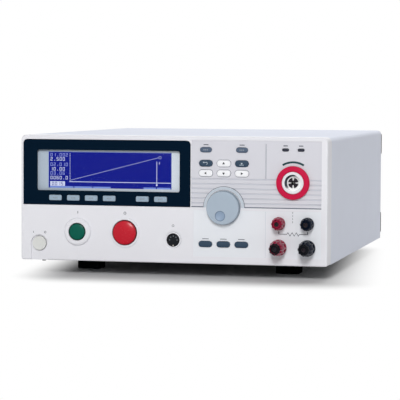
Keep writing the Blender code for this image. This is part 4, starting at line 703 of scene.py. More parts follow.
class Shape:
    """A piece in the making: it gathers shapes where they belong, and is published in one finish."""

    def __init__(self, name: str, finish: Finish, body: str = "case") -> None:
        """An empty piece.

        Args:
            name: The piece's name.
            finish: What it is made of.
            body: The CAD body that it rides on.
        """
        self.name, self.finish, self.body = name, finish, body
        self.mesh = bmesh.new()

    def add(self, part: BMesh, place: Point = (0, 0, 0), turn: float = 0.0, tilt: float = 0.0) -> "Shape":
        """Adds a shape.

        Args:
            part: The shape, which is used up.
            place: Where its origin goes.
            turn: Its turn about the Y axis, in degrees.
            tilt: Its turn about the X axis before that, in degrees.

        Returns:
            This piece.
        """
        spot = (Matrix.Translation(place) @ Matrix.Rotation(math.radians(turn), 4, "Y")
                @ Matrix.Rotation(math.radians(tilt), 4, "X"))
        bmesh.ops.transform(part, matrix=spot, verts=part.verts)
        carrier = bpy.data.meshes.new("carrier")
        part.to_mesh(carrier)
        part.free()
        self.mesh.from_mesh(carrier)
        bpy.data.meshes.remove(carrier)
        return self

    def bar(self, x: float, z: float, width: float, height: float, depth: float, turn: float = 0.0,
            proud: float = SKIN) -> "Shape":
        """A printed bar, a hair proud of a face at that depth."""
        return self.add(block((width, proud, height)), (x, at(depth) - proud / 4, z), turn)

    def line(self, start: Point, end: Point, width: float, depth: float) -> "Shape":
        """A printed line between two places on a face."""
        run, rise = end[0] - start[0], end[1] - start[1]
        angle = -math.degrees(math.atan2(rise, run))
        return self.bar((start[0] + end[0]) / 2, (start[1] + end[1]) / 2, math.hypot(run, rise) + width * 0.5,
                        width, depth, angle)

    def arc(self, x: float, z: float, radius: float, width: float, depth: float, start: float, sweep: float,
            proud: float = SKIN) -> "Shape":
        """A printed arc, from an angle over +X, anticlockwise as the user sees it."""
        inner, outer = radius - width / 2, radius + width / 2
        section = [(inner, -proud * 0.75), (outer, -proud * 0.75), (outer, proud / 4), (inner, proud / 4)]
        part = turned(section, max(int(sweep / 4), 8), True, math.radians(sweep))
        return self.add(part, (x, at(depth), z), -start - sweep)

    def wedge(self, x: float, z: float, size: float, depth: float, turn: float) -> "Shape":
        """A printed triangle that points up, or turned clockwise by so many degrees."""
        part = bmesh.new()
        bmesh.ops.create_cone(part, cap_ends=True, segments=3, radius1=size, radius2=size, depth=SKIN)
        return self.add(part, (x, at(depth) - SKIN / 4, z), turn, 90)

    def publish(self, *replaced: str, sharp: float = 32.0, even: bool = False) -> bpy.types.Object:
        """Makes the piece.

        Args:
            replaced: The CAD nodes that it stands for.
            sharp: The angle in degrees from which an edge stays crisp.
            even: Whether its flat faces are shaded flat, up to their roundings.

        Returns:
            The finished object, riding on its body.
        """
        for face in self.mesh.faces:
            face.smooth = True
        for edge in self.mesh.edges:
            edge.smooth = edge.calc_face_angle(math.pi) < math.radians(sharp)
        data = bpy.data.meshes.new(self.name)
        self.mesh.to_mesh(data)
        self.mesh.free()
        data.materials.append(self.finish.material())
        piece = bpy.data.objects.new(self.name, data)
        bpy.context.scene.collection.objects.link(piece)
        if even:
            piece.modifiers.new("even_shading", "WEIGHTED_NORMAL").keep_sharp = True
        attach(piece, self.body)
        if replaced:
            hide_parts(*replaced)
        LOG.info("%s: %d faces on %s", self.name, len(data.polygons), self.body)
        return piece


def repaint(node: str, finish: Finish) -> None:
    """Gives a CAD node that stays a better material."""
    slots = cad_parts[node].material_slots
    for slot in slots:
        slot.material = finish.material()
    LOG.info("%s keeps its shape in %s", node, finish.name)


def refined(node: str, finish: Finish, edge: float = 0.0, body: str = "case", degrees: float = 35.0,
            steps: int = 2) -> None:
    """Publishes a copy of a CAD node with whole faces and softened edges."""
    Shape(f"{node}_shell", finish, body).add(merged_copy(node, edge, degrees, steps)).publish(node, even=True)


# Front


@dataclass(frozen=True)
class FrontPanel:
    """The grey front moulding with its collars, arch, dish, print, painted shade lines and the two screws
    under it.
    """

    start_collar: tuple[float, ...] = (0.00945, 0.0146, 0.0030, 0.0026)
    stop_ring: tuple[float, ...] = (0.01355, 0.0158, 0.0012, 0.0011)
    arch_radius: float = 0.0216
    dish: Triple = (0.0118, 0.00855, 0.0012)
    film_depth: float = 0.0005
    field_depth: float = 0.001
    screw_head: Triple = (0.0022, 0.0012, 0.0006)
    screw_places: tuple[Pair, ...] = ((-0.1412, 0.0062), (0.144, 0.0062))
    sunk: float = 0.0004
    # The painted shade lines of the field's step and of the arch's inner rim.
    divider_height: float = 0.0010
    arch_line: Pair = (0.0184, 0.0004)
    film_edge: tuple[float, ...] = (0.1001, 0.0470, 0.0003, 0.0480)
    field_line: tuple[float, ...] = (0.1001, 0.1228, 0.0004, 0.0360)
    dashes: Triple = (0.0702, 0.0032, 0.0019)
    load_rise: float = 0.0016
    load_drop: float = 0.0028
    load_inset: float = 0.0085
    load_swing: float = 0.0018
    button_symbol_rise: float = 0.0205
    power_symbols: Pair = (0.0065, 0.0118)
    remote_symbol_rise: float = 0.0150
    lamp_stroke_z: float = 0.1392

    def build(self) -> None:
        """Builds every piece of the front that isn't a control."""
        Shape("front_moulding", PANEL).add(merged_copy("front_panel")).publish("front_panel", even=True)
        self.build_collars()
        self.build_print()
        screws = Shape("front_lower_screws", DARK_METAL)
        radius, height, rounding = self.screw_head
        head = [(0, -height), *round_over(radius, -height, rounding), (radius, self.sunk), (0, self.sunk)]
        for x, depth in self.screw_places:
            screws.add(turned(head, 32), (x, at(depth), CASE_BOTTOM), 0, 90)
        screws.publish()

    def build_collars(self) -> None:
        """The finely turned START collar, STOP ring, remote dish and the rim of the arch."""
        for name, button, (bore, radius, reach, slope) in (
                ("start_collar", "start_button", self.start_collar),
                ("stop_ring", "stop_button", self.stop_ring)):
            outer, front = radius + SKIN, -reach - SKIN
            profile = [(bore, 0.001), (bore, front + 0.0002), (bore + 0.0002, front),
                       *round_over(outer, front, slope, 8, reach - 0.0005), (outer, self.sunk)]
            Shape(name, PANEL).add(turned(profile, 128, True), on_front(button)).publish()
        rim, well, depth = self.dish
        profile = [(rim + self.sunk, CHAMFER), (rim + self.sunk, -SKIN), (rim, -SKIN * 0.6),
                   (well, depth - SKIN), (well, depth + 0.0010)]
        Shape("remote_dish", PANEL).add(turned(profile, 96, True), on_front("remote_socket")).publish()
        arch = self.arch_radius
        profile = [(arch - 0.0026, self.sunk), (arch - 0.0026, -0.00002), (arch - 0.0009, -SKIN),
                   (arch - 0.0003, -SKIN), (arch + SKIN, 0.0003), (arch + SKIN, 0.0012)]
        Shape("jog_wheel_arch", ARCH).add(turned(profile, 96, True, math.pi), on_front("jog_wheel"),
                                          180).publish()

    def build_print(self) -> None:
        """The printed lines and plain symbols on the moulding, the field and the film, and the painted shade
        lines along the field's step and the arch.
        """
        field, film = self.field_depth, self.film_depth
        hv, jog, arch = middle("hv_ring"), middle("jog_wheel"), self.arch_radius
        # Painted shade: the dark lines of the step under the field and of the arch's outer and inner rims.
        divider = Shape("divider_painted_shade", PAINTED_SHADE_LINE)
        for left, right in ((PANEL.field_x[0], jog.x - arch), (jog.x + arch, PANEL.field_x[1])):
            divider.bar((left + right) / 2, DIVIDER_Z + self.divider_height / 2, right - left,
                        self.divider_height, field)
        divider.arc(jog.x, jog.z, arch + 0.00035, 0.0005, field, 1, 178)
        divider.arc(jog.x, jog.z, *self.arch_line, 0.0, 1, 178)
        divider.publish()
        Shape("film_edge_print", ARCH).bar(*self.film_edge, film).publish()
        Shape("terminal_arc_print", INK_GREEN).arc(hv.x, hv.z, 0.0213, 0.0021, field, 58.5, 63).publish()
        dark = Shape("front_dark_print", INK_DARK)
        self.print_load(dark)
        top, pitch, length = self.dashes
        for number in range(4):
            dark.bar(hv.x, top - pitch * number, 0.0004, length, film)
        self.print_symbols(dark)
        dark.publish()
        Shape("front_grey_print", INK_GREY).bar(*self.field_line, field + 0.0007).publish()

    def print_load(self, dark: Shape) -> None:
        """The resistor symbol between the two rows of posts."""
        left, right = middle("source_high_base").x, middle("source_low_base").x
        z = (middle("source_high_base").z + middle("sense_high_base").z) / 2 + self.load_rise
        for x in (left, right):
            dark.bar(x, z + self.load_drop / 2, 0.0007, self.load_drop, self.film_depth)
        first, last = left + self.load_inset, right - self.load_inset
        dark.line((left, z), (first, z), 0.0006, self.film_depth)
        dark.line((last, z), (right, z), 0.0006, self.film_depth)
        step = (last - first) / 6
        peaks = [(first + step * (n + 0.5), z + self.load_swing * (-1) ** n) for n in range(6)]
        points = [(first, z), *peaks, (last, z)]
        for start, end in zip(points, points[1:]):
            dark.line(start, end, 0.0005, self.film_depth)

    def print_symbols(self, dark: Shape) -> None:
        """Plain symbols by the buttons and sockets, and short strokes over the keys and lamps."""
        start, stop, power = middle("start_button"), middle("stop_button"), middle("power_button")
        rise, (aside, power_rise) = self.button_symbol_rise, self.power_symbols
        dark.bar(start.x, start.z + rise, 0.0006, 0.0026, 0.0)
        dark.arc(stop.x, stop.z + rise, 0.0012, 0.0005, 0.0, 0, 360)
        dark.bar(power.x - aside, power.z + power_rise, 0.0005, 0.0022, 0.0)
        dark.arc(power.x + aside, power.z + power_rise, 0.0010, 0.0004, 0.0, 0, 360)
        x, z = middle("remote_socket").x, middle("remote_socket").z + self.remote_symbol_rise
        dark.arc(x, z, 0.0012, 0.0003, 0.0, 0, 360)
        for turn in (90, 210, 330):
            angle = math.radians(turn)
            dark.bar(x + 0.0005 * math.cos(angle), z + 0.0005 * math.sin(angle), 0.0003, 0.0003, 0.0)
        for names, rise, width, height, depth in (
                (("manual_key", "automatic_key", "utility_key"), 0.0055, 0.0068, 0.0006, self.film_depth),
                (("page_key", "function_key"), 0.0052, 0.0052, 0.0008, self.field_depth)):
            for name in names:
                dark.bar(middle(name).x, middle(name).z + rise, width, height, depth)
        for side in LAMP_SIDES:
            dark.bar(middle("hv_ring").x + side, self.lamp_stroke_z, 0.0046, 0.0009, self.field_depth)


@dataclass(frozen=True)
class DisplayUnit:
    """The display: navy surround, clear window, module frame and the lit dots of its picture."""

    glass_x: Pair = (-0.1358, -0.0010)
    glass_z: Pair = (0.0919, 0.1304)
    glass_depth: Pair = (0.00395, 0.00525)
    dots: tuple[int, int] = (240, 66)
    strokes: tuple[tuple[float, ...], ...] = (
        (0, 0, 4, 0.8), (3.2, 0, 0.8, 3), (3.2, 3, 0.8, 3), (0, 5.2, 4, 0.8), (0, 3, 0.8, 3), (0, 0, 0.8, 3),
        (0, 2.6, 4, 0.8))
    digits: tuple[str, ...] = ("012345", "12", "01643", "01623", "5612", "05623", "054326", "012", "0123456",
                               "012356")
    labels: tuple[tuple[float, str], ...] = ((3, "01.002"), (20.4, "02.010"), (36.2, "03.06"))
    readings: tuple[tuple[float, str], ...] = ((10.6, "2.500"), (28.6, "10.00"), (44.6, "0060.0"))
    bright_digits: tuple[float, float, str] = (7, 55.4, "0015")
    bright_field: tuple[float, ...] = (3.5, 54.2, 29, 8.4)
    sign_columns: int = 6
    point: tuple[float, ...] = (1.5, 4.8, 1.2, 1.2)
    tabs: tuple[tuple[int, int], ...] = ((3, 49), (51, 86), (88, 122), (186, 210), (212, 238))
    ramp_start: tuple[int, int] = (42, 52)
    ramp_end: tuple[int, int] = (213, 9)
    ramp_ring: Triple = (217, 8.5, 2.4)
    ramp_strips: tuple[tuple[float, ...], ...] = ((41, 54, 198, 1.1), (216, 17, 1, 4), (211, 16, 1, 41),
                                                  (210, 57, 3, 3))
    edge_width: float = 0.0003
    dot_height: float = 0.00008

    def build(self) -> None:
        """Builds the display's pieces."""
        refined("display_bezel", NAVY, 0.00012)
        Shape("display_pane", PANE).add(merged_copy("display_window", 0.0002)).publish("display_window")
        repaint("lcd_module", LCD_FRAME)
        (left, right), (low, high), (front, back) = self.glass_x, self.glass_z, self.glass_depth
        glass = block((right - left - 0.0002, back - front, high - low - 0.0002), 0.0002)
        Shape("display_glass", LCD_BLUE).add(glass, ((left + right) / 2, at((front + back) / 2),
                                                    (low + high) / 2)).publish()
        edge = Shape("display_glass_edge", LCD_EDGE)
        for first, last in self.tabs:
            self.dot(edge, first, 63.0, last - first, 2.8)
        rim = self.edge_width
        edge.bar((left + right) / 2, high - rim, right - left - 2 * rim, rim, front)
        for x in (left + rim, right - rim):
            edge.bar(x, (low + high) / 2, rim, high - low - 2 * rim, front)
        edge.publish()
        self.draw_readings()
        self.draw_ramp()

    def dot(self, picture: Shape, column: float, row: float, columns: float = 1, rows: float = 1,
            height: float | None = None) -> None:
        """Lights a run of dots, counted from the picture's upper left, as tall as given or as a dot."""
        pitch_x = (self.glass_x[1] - self.glass_x[0]) / self.dots[0]
        pitch_z = (self.glass_z[1] - self.glass_z[0]) / self.dots[1]
        x = self.glass_x[0] + (column + columns / 2) * pitch_x
        z = self.glass_z[1] - (row + rows / 2) * pitch_z
        picture.bar(x, z, columns * pitch_x, rows * pitch_z, self.glass_depth[0],
                    proud=height or self.dot_height)

    def number(self, picture: Shape, text: str, column: float, row: float,
               height: float | None = None) -> None:
        """Draws plain digits, six dots tall.

        Args:
            picture: The piece that holds the lit dots.
            text: Digits and points.
            column: The first column.
            row: The top row.
            height: How thick the dots are, if not as a lit dot.
        """
        for sign in text:
            strokes = ([self.point] if sign == "."
                       else [self.strokes[int(place)] for place in self.digits[int(sign)]])
            for across, down, columns, rows in strokes:
                self.dot(picture, column + across, row + down, columns, rows, height)
            column += self.sign_columns

    def draw_readings(self) -> None:
        """Six lines of plain digits at the left, and the bright field under them with dark digits."""
        for name, finish, lines in (("display_numbers", LCD_DIM, self.labels),
                                    ("display_readings", LCD_LIGHT, self.readings)):
            piece = Shape(name, finish)
            for row, reading in lines:
                self.number(piece, reading, 4, row)
            if finish is LCD_LIGHT:
                self.dot(piece, *self.bright_field)
            piece.publish()
        dark = Shape("display_dark_digits", LCD_BLUE)
        column, row, reading = self.bright_digits
        self.number(dark, reading, column, row, 0.00014)
        dark.publish()

    def draw_ramp(self) -> None:
        """A plain test ramp: the axes, the rise, and the ring and the bar at its end."""
        ramp = Shape("display_ramp", LCD_LIGHT)
        (first, low), (last, high) = self.ramp_start, self.ramp_end
        for row in range(3, low + 1, 3):
            self.dot(ramp, first, row, 1, 1.7)
        for strip in self.ramp_strips:
            self.dot(ramp, *strip)
        for column in range(first, last, 2):
            row = round(low + (high - low) * (column - first) / (last - first))
            self.dot(ramp, column, row, 2, 0.5)
        column, row, radius = self.ramp_ring
        for turn in range(0, 360, 45):
            angle = math.radians(turn)
            self.dot(ramp, column + radius * math.cos(angle), row + radius * math.sin(angle), 0.9, 0.9)
        ramp.publish()


class Legend(Enum):
    """The plain mark on a key. A number is a triangle's turn in degrees."""

    NONE = "none"
    BARS = "bars"
    TURN_BACK = "turn back"
    TRAY = "tray"
    UP = 0
    RIGHT = 90
    DOWN = 180
    LEFT = 270


class KeyKind(Enum):
    """A kind of key: its plastic, its mark's ink, its width, height and corner, and its wall's back depth."""

    SOFT = (SOFT_KEY, INK_GREY, 0.0138, 0.0058, 0.0013, 0.0055)
    SMALL = (GREY_KEY, INK_GREY, 0.0124, 0.0052, 0.002392, 0.003)
    DARK = (DARK_KEY, INK_PALE, 0.0144, 0.0067, 0.003082, 0.003)
    WHITE = (WHITE_KEY, INK_BLACK, 0.0144, 0.0067, 0.003082, 0.003)
    LOW = (DARK_KEY, INK_PALE, 0.0144, 0.0063, 0.002898, 0.003)


@dataclass(frozen=True)
class KeyCap:
    """One key: a crowned cap, its retaining flange, its foot and its mark."""

    node: str
    kind: KeyKind
    legend: Legend
    depth: float = 0.0045
    edge: float = 0.0006
    crown: float = 0.00025
    flange: float = 0.001
    flange_gap: float = 0.0003
    foot_share: float = 0.45
    softened: float = 0.0002

    def build(self) -> None:
        """Builds the key and its mark."""
        finish, _, width, height, corner, wall = self.kind.value
        low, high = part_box(self.node)
        x, z = (low.x + high.x) / 2, (low.z + high.z) / 2
        flange_y = at(wall + self.flange_gap + self.flange / 2)
        key = Shape(f"{self.node}_cap", finish, self.node)
        key.add(plate(width, height, self.depth, corner, self.edge, self.crown), (x, low.y, z))
        key.add(block((high.x - low.x, self.flange, high.z - low.z), self.softened), (x, flange_y, z))
        foot = (width * self.foot_share, high.y - flange_y, height * self.foot_share)
        key.add(block(foot, self.softened), (x, high.y - foot[1] / 2, z))
        key.publish(self.node)
        if self.legend is not Legend.NONE:
            self.build_mark(x, z, low.y - FRONT_Y)

    def build_mark(self, x: float, z: float, depth: float) -> None:
        """Prints the key's mark at the middle of its cap, whose front has that depth."""
        mark = Shape(f"{self.node}_mark", self.kind.value[1], self.node)
        if self.legend is Legend.BARS:
            for step in (-1, 0, 1):
                mark.bar(x + 0.0018 * step, z, 0.0011, 0.0014, depth)
        elif self.legend is Legend.TURN_BACK:
            mark.arc(x + 0.0008, z, 0.0010, 0.0005, depth, -90, 180)
            mark.bar(x - 0.0006, z + 0.0010, 0.0028, 0.0005, depth).wedge(
                x - 0.0022, z + 0.0010, 0.0009, depth, 270)
        elif self.legend is Legend.TRAY:
            mark.bar(x, z - 0.0014, 0.0046, 0.0005, depth).wedge(x, z + 0.0002, 0.0012, depth, 180)
        else:
            mark.wedge(x, z, 0.0016, depth, self.legend.value)
        mark.publish()


@dataclass(frozen=True)
class Keypad:
    """The seventeen keys of the front."""

    outline_gap: float = 0.00034
    outline_width: float = 0.00034
    keys: tuple[tuple[str, KeyKind, Legend], ...] = (
        *((f"soft_key_{number}", KeyKind.SOFT, Legend.BARS) for number in range(1, 7)),
        ("page_key", KeyKind.SMALL, Legend.BARS), ("function_key", KeyKind.SMALL, Legend.BARS),
        ("back_key", KeyKind.DARK, Legend.TURN_BACK), ("store_key", KeyKind.DARK, Legend.TRAY),
        ("up_key", KeyKind.WHITE, Legend.UP), ("left_key", KeyKind.WHITE, Legend.LEFT),
        ("down_key", KeyKind.WHITE, Legend.DOWN), ("right_key", KeyKind.WHITE, Legend.RIGHT),
        ("manual_key", KeyKind.LOW, Legend.NONE), ("automatic_key", KeyKind.LOW, Legend.NONE),
        ("utility_key", KeyKind.LOW, Legend.NONE))

    def build(self) -> None:
        """Builds every key, and the painted shade lines of the gaps on the field round the white ones."""
        for key in self.keys:
            KeyCap(*key).build()
        # Painted shade: dark lines in the gaps round the white keys.
        outlines = Shape("white_key_gap_shade", PAINTED_SHADE_LINE)
        for name, kind, _ in self.keys:
            if kind is KeyKind.WHITE:
                self.outline(outlines, middle(name), *kind.value[2:4])
        outlines.publish()

    def outline(self, piece: Shape, centre: Vector, width: float, height: float) -> None:
        """Draws the thin dark line of painted shade in the gap that runs round a key on the field.

        Args:
            piece: The piece that gathers the outlines.
            centre: The middle of the key.
            width: The key's width.
            height: The key's height.
        """
        radius, aside = height / 2 + self.outline_gap, (width - height) / 2
        for side, start in ((-1, 90), (1, -90)):
            piece.arc(centre.x + side * aside, centre.z, radius, self.outline_width, 0.001, start, 180)
            piece.bar(centre.x, centre.z + side * radius, 2 * aside, self.outline_width, 0.001)


@dataclass(frozen=True)
class JogWheel:
    """The jog wheel with its finger dimple and its shaft."""

    radius: float = 0.0179
    face_radius: float = 0.0172
    reach: float = 0.0072
    edge: float = 0.0010
    dimple_radius: float = 0.0053
    dimple_offset: float = 0.0087
    dimple_depth: float = 0.0014
    dimple_angle: float = 254.0
    shaft: float = 0.003
    rings: int = 56

    def build(self) -> None:
        """Builds the wheel as one turned shape whose face is pressed in at the dimple."""
        face, flat = -self.reach, self.face_radius - self.edge
        profile = [(flat * ring / self.rings, face) for ring in range(self.rings)]
        profile += round_over(self.face_radius, face, self.edge, 7)
        profile += [(self.radius, -0.0008), (self.radius - 0.0005, -0.0003), (self.shaft, -0.0003),
                    (self.shaft, 0.0107), (0, 0.0107)]
        wheel = turned(profile, 224)
        angle = math.radians(self.dimple_angle)
        x, z = self.dimple_offset * math.cos(angle), self.dimple_offset * math.sin(angle)
        for vert in wheel.verts:
            away = math.hypot(vert.co.x - x, vert.co.z - z) / self.dimple_radius
            if away < 1 and vert.co.y < face + MERGE:
                vert.co.y += self.dimple_depth * (1 - away ** 2)
        Shape("jog_wheel_knob", KNOB, "jog_wheel").add(wheel, on_front("jog_wheel")).publish(
            "jog_wheel", sharp=38)


@dataclass(frozen=True)
class PushButtons:
    """START, STOP and the power button."""

    start: Triple = (0.0092, -0.0024, -0.0042)
    stop: Triple = (0.0133, -0.0012, -0.0042)
    stem_radius: float = 0.004
    skirt_end: float = 0.004
    stem_end: float = 0.0067
    power_radius: float = 0.0075
    power_proud: float = 0.001
    power_skirt: float = 0.0035

    def build(self) -> None:
        """Builds the three buttons."""
        for node, (radius, edge, top), finish in (("start_button", self.start, GREEN),
                                                  ("stop_button", self.stop, RED)):
            side = radius - 0.0002
            profile = [*round_over(side, top, side, 14, edge - 0.0001 - top), (radius, edge + 0.0002),
                       (radius, self.skirt_end), (self.stem_radius, self.skirt_end),
                       (self.stem_radius, self.stem_end), (0, self.stem_end)]
            x, _, z = spot = on_front(node)
            finish = replace(finish, centre=(x, z), radius=radius)
            Shape(f"{node}_dome", finish, node).add(turned(profile, 128), spot).publish(node)
        self.build_power()

    def build_power(self) -> None:
        """The cream power button: a round cap, a shallow dish in its face and the rod behind it."""
        low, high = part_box("power_button")
        x, z = (low.x + high.x) / 2, (low.z + high.z) / 2
        front, radius = -self.power_proud, self.power_radius
        profile = [(radius * 0.8 * step / 10, front + 0.00025 * (1 - (step / 10) ** 2)) for step in range(11)]
        profile += round_over(radius, front, 0.0008) + [(radius, self.power_skirt), (0, self.power_skirt)]
        button = Shape("power_button_cap", CREAM, "power_button").add(turned(profile, 96), (x, at(0), z))
        rod_front = at(self.power_skirt) - 0.001
        button.add(block((0.005, high.y - rod_front, 0.005), 0.0004), (x, (rod_front + high.y) / 2, z))
        button.publish("power_button")


@dataclass(frozen=True)
class RemoteSocket:
    """The round remote-control socket: shell, insert, five contacts and the polarising key."""

    shell: float = 0.0083
    insert: float = 0.0070
    mouth: float = 0.0004
    floor: float = 0.0016
    length: float = 0.017
    circle: float = 0.004
    contact: float = 0.0007

    def build(self) -> None:
        """Builds the socket."""
        x, _, z = spot = on_front("remote_socket")
        profile = [(0, self.floor), (self.insert - CHAMFER, self.floor), (self.insert, self.floor - 0.0002),
                   (self.insert, self.mouth + 0.0002), (self.insert + 0.0002, self.mouth),
                   (self.shell - CHAMFER, self.mouth), (self.shell, self.mouth + CHAMFER),
                   (self.shell, self.length), (0, self.length)]
        Shape("remote_socket_shell", BLACK).add(turned(profile, 96), spot).publish("remote_socket")
        rim = [(self.insert + 0.0001, self.mouth + 0.0010), (self.insert + 0.0001, self.mouth - SKIN),
               (self.shell - 0.0002, self.mouth - SKIN), (self.shell + SKIN, self.mouth + 0.0002),
               (self.shell + SKIN, self.mouth + 0.0010)]
        Shape("remote_socket_rim", PANEL).add(turned(rim, 96, True), spot).publish()
        pins = Shape("remote_socket_contacts", PIN_METAL)
        for number in range(5):
            angle = math.radians(45 * number)
            ring = [(self.contact * 0.4, self.floor + 0.0006), (self.contact * 0.4, self.floor - 0.00015),
                    (self.contact, self.floor - 0.00015), (self.contact, self.floor + 0.0006)]
            pins.add(turned(ring, 24, True), (x + self.circle * math.cos(angle), FRONT_Y,
                                              z + self.circle * math.sin(angle)))
        pins.publish()
        Shape("remote_socket_key", NICKEL).add(block((0.0014, 0.0009, 0.0016), 0.0002), (
            x, at(self.floor - 0.0001), z - self.insert + 0.0011)).publish()
        Shape("remote_socket_ribs", DARK_METAL).arc(x, z, 0.0058, 0.0003, self.floor, 0, 360).publish()


@dataclass(frozen=True)
class HighVoltageTerminal:
    """The high-voltage terminal: red ring, white insulator, slotted contact and the two lamps over it."""

    ring: Pair = (0.0117, 0.0174)
    ring_reach: float = 0.0024
    insulator: float = 0.0114
    barrel: float = 0.0092
    reach: float = 0.0016
    bore: float = 0.0080
    bore_end: float = 0.012
    mouth: Pair = (0.0007, 0.0006)
    back: float = 0.0007
    length: float = 0.032
    contact: Pair = (0.0020, 0.0053)
    contact_depth: Pair = (0.0010, 0.0118)
    hole_end: float = 0.014
    carrier: Pair = (0.0047, 0.0024)
    collar: Pair = (0.0034, 0.0046)

    def build(self) -> None:
        """Builds the terminal and its lamps."""
        spot = on_front("hv_ring")
        inner, outer = self.ring
        front = -self.ring_reach
        profile = [(inner, self.back), (inner, front + CHAMFER), (inner + CHAMFER, front),
                   *round_over(outer, front, 0.0011), (outer, self.back)]
        Shape("hv_ring_moulding", HV_RED).add(turned(profile, 128, True), spot).publish("hv_ring")
        hole, (carrier, carrier_front) = self.contact[0], self.carrier
        width, drop = self.mouth
        lip = drop - self.reach
        profile = [(0, self.hole_end), (hole, self.hole_end), (hole, self.bore_end),
                   (hole + CHAMFER, self.bore_end - CHAMFER), (hole + CHAMFER, carrier_front),
                   (carrier, carrier_front), (carrier, self.bore_end), (self.bore, self.bore_end),
                   (self.bore, lip),
                   *((self.bore + width * (1 - math.cos(a)), lip - drop * math.sin(a))
                     for a in (0.4, 0.8, 1.2)),
                   (self.bore + 0.0008, -self.reach), *round_over(self.insulator, -self.reach, CHAMFER, 3),
                   (self.insulator, self.back), (self.barrel, self.back), (self.barrel, self.length),
                   (0, self.length)]
        Shape("hv_socket_insulator", INSULATOR).add(turned(profile, 128), spot).publish("hv_socket")
        near, far = self.collar
        ring = [(carrier + CHAMFER, far), (carrier + CHAMFER, near), (self.bore - 0.00005, near),
                (self.bore - 0.00005, far)]
        Shape("hv_socket_collar", INSULATOR).add(turned(ring, 96, True), spot).publish()
        contact = Shape("hv_contact", DARK_METAL)
        radius, (near, far) = self.contact[1], self.contact_depth
        section = [(hole, far), (hole, near + CHAMFER), (hole + 0.0002, near), (radius - 0.0006, near),
                   (radius, near + 0.0006), (radius, far)]
        for quarter in range(4):
            contact.add(turned(section, 18, True, math.radians(66)), spot, 12 + 90 * quarter)
        contact.publish()
        self.build_lamps(spot[0])

    def build_lamps(self, x: float) -> None:
        """The two pill-shaped lamp lenses beside that place, and the light pipe behind them."""
        lenses = Shape("lamp_lenses", BLACK_GLOSS)
        for side in LAMP_SIDES:
            lenses.add(plate(0.0069, 0.0028, 0.0025, 0.0013, 0.0004, 0.0002), (x + side, at(0.0003), 0.135))
        lenses.publish()
        repaint("lamp_light_pipe", BLACK_GLOSS)


class PostKind(Enum):
    """A binding post's size: cap radius, nose radius, reach and whether a black disc fills its front."""

    SENSE = (0.0069, 0.0054, 0.0145, False)
    SOURCE = (0.0085, 0.0057, 0.0250, True)


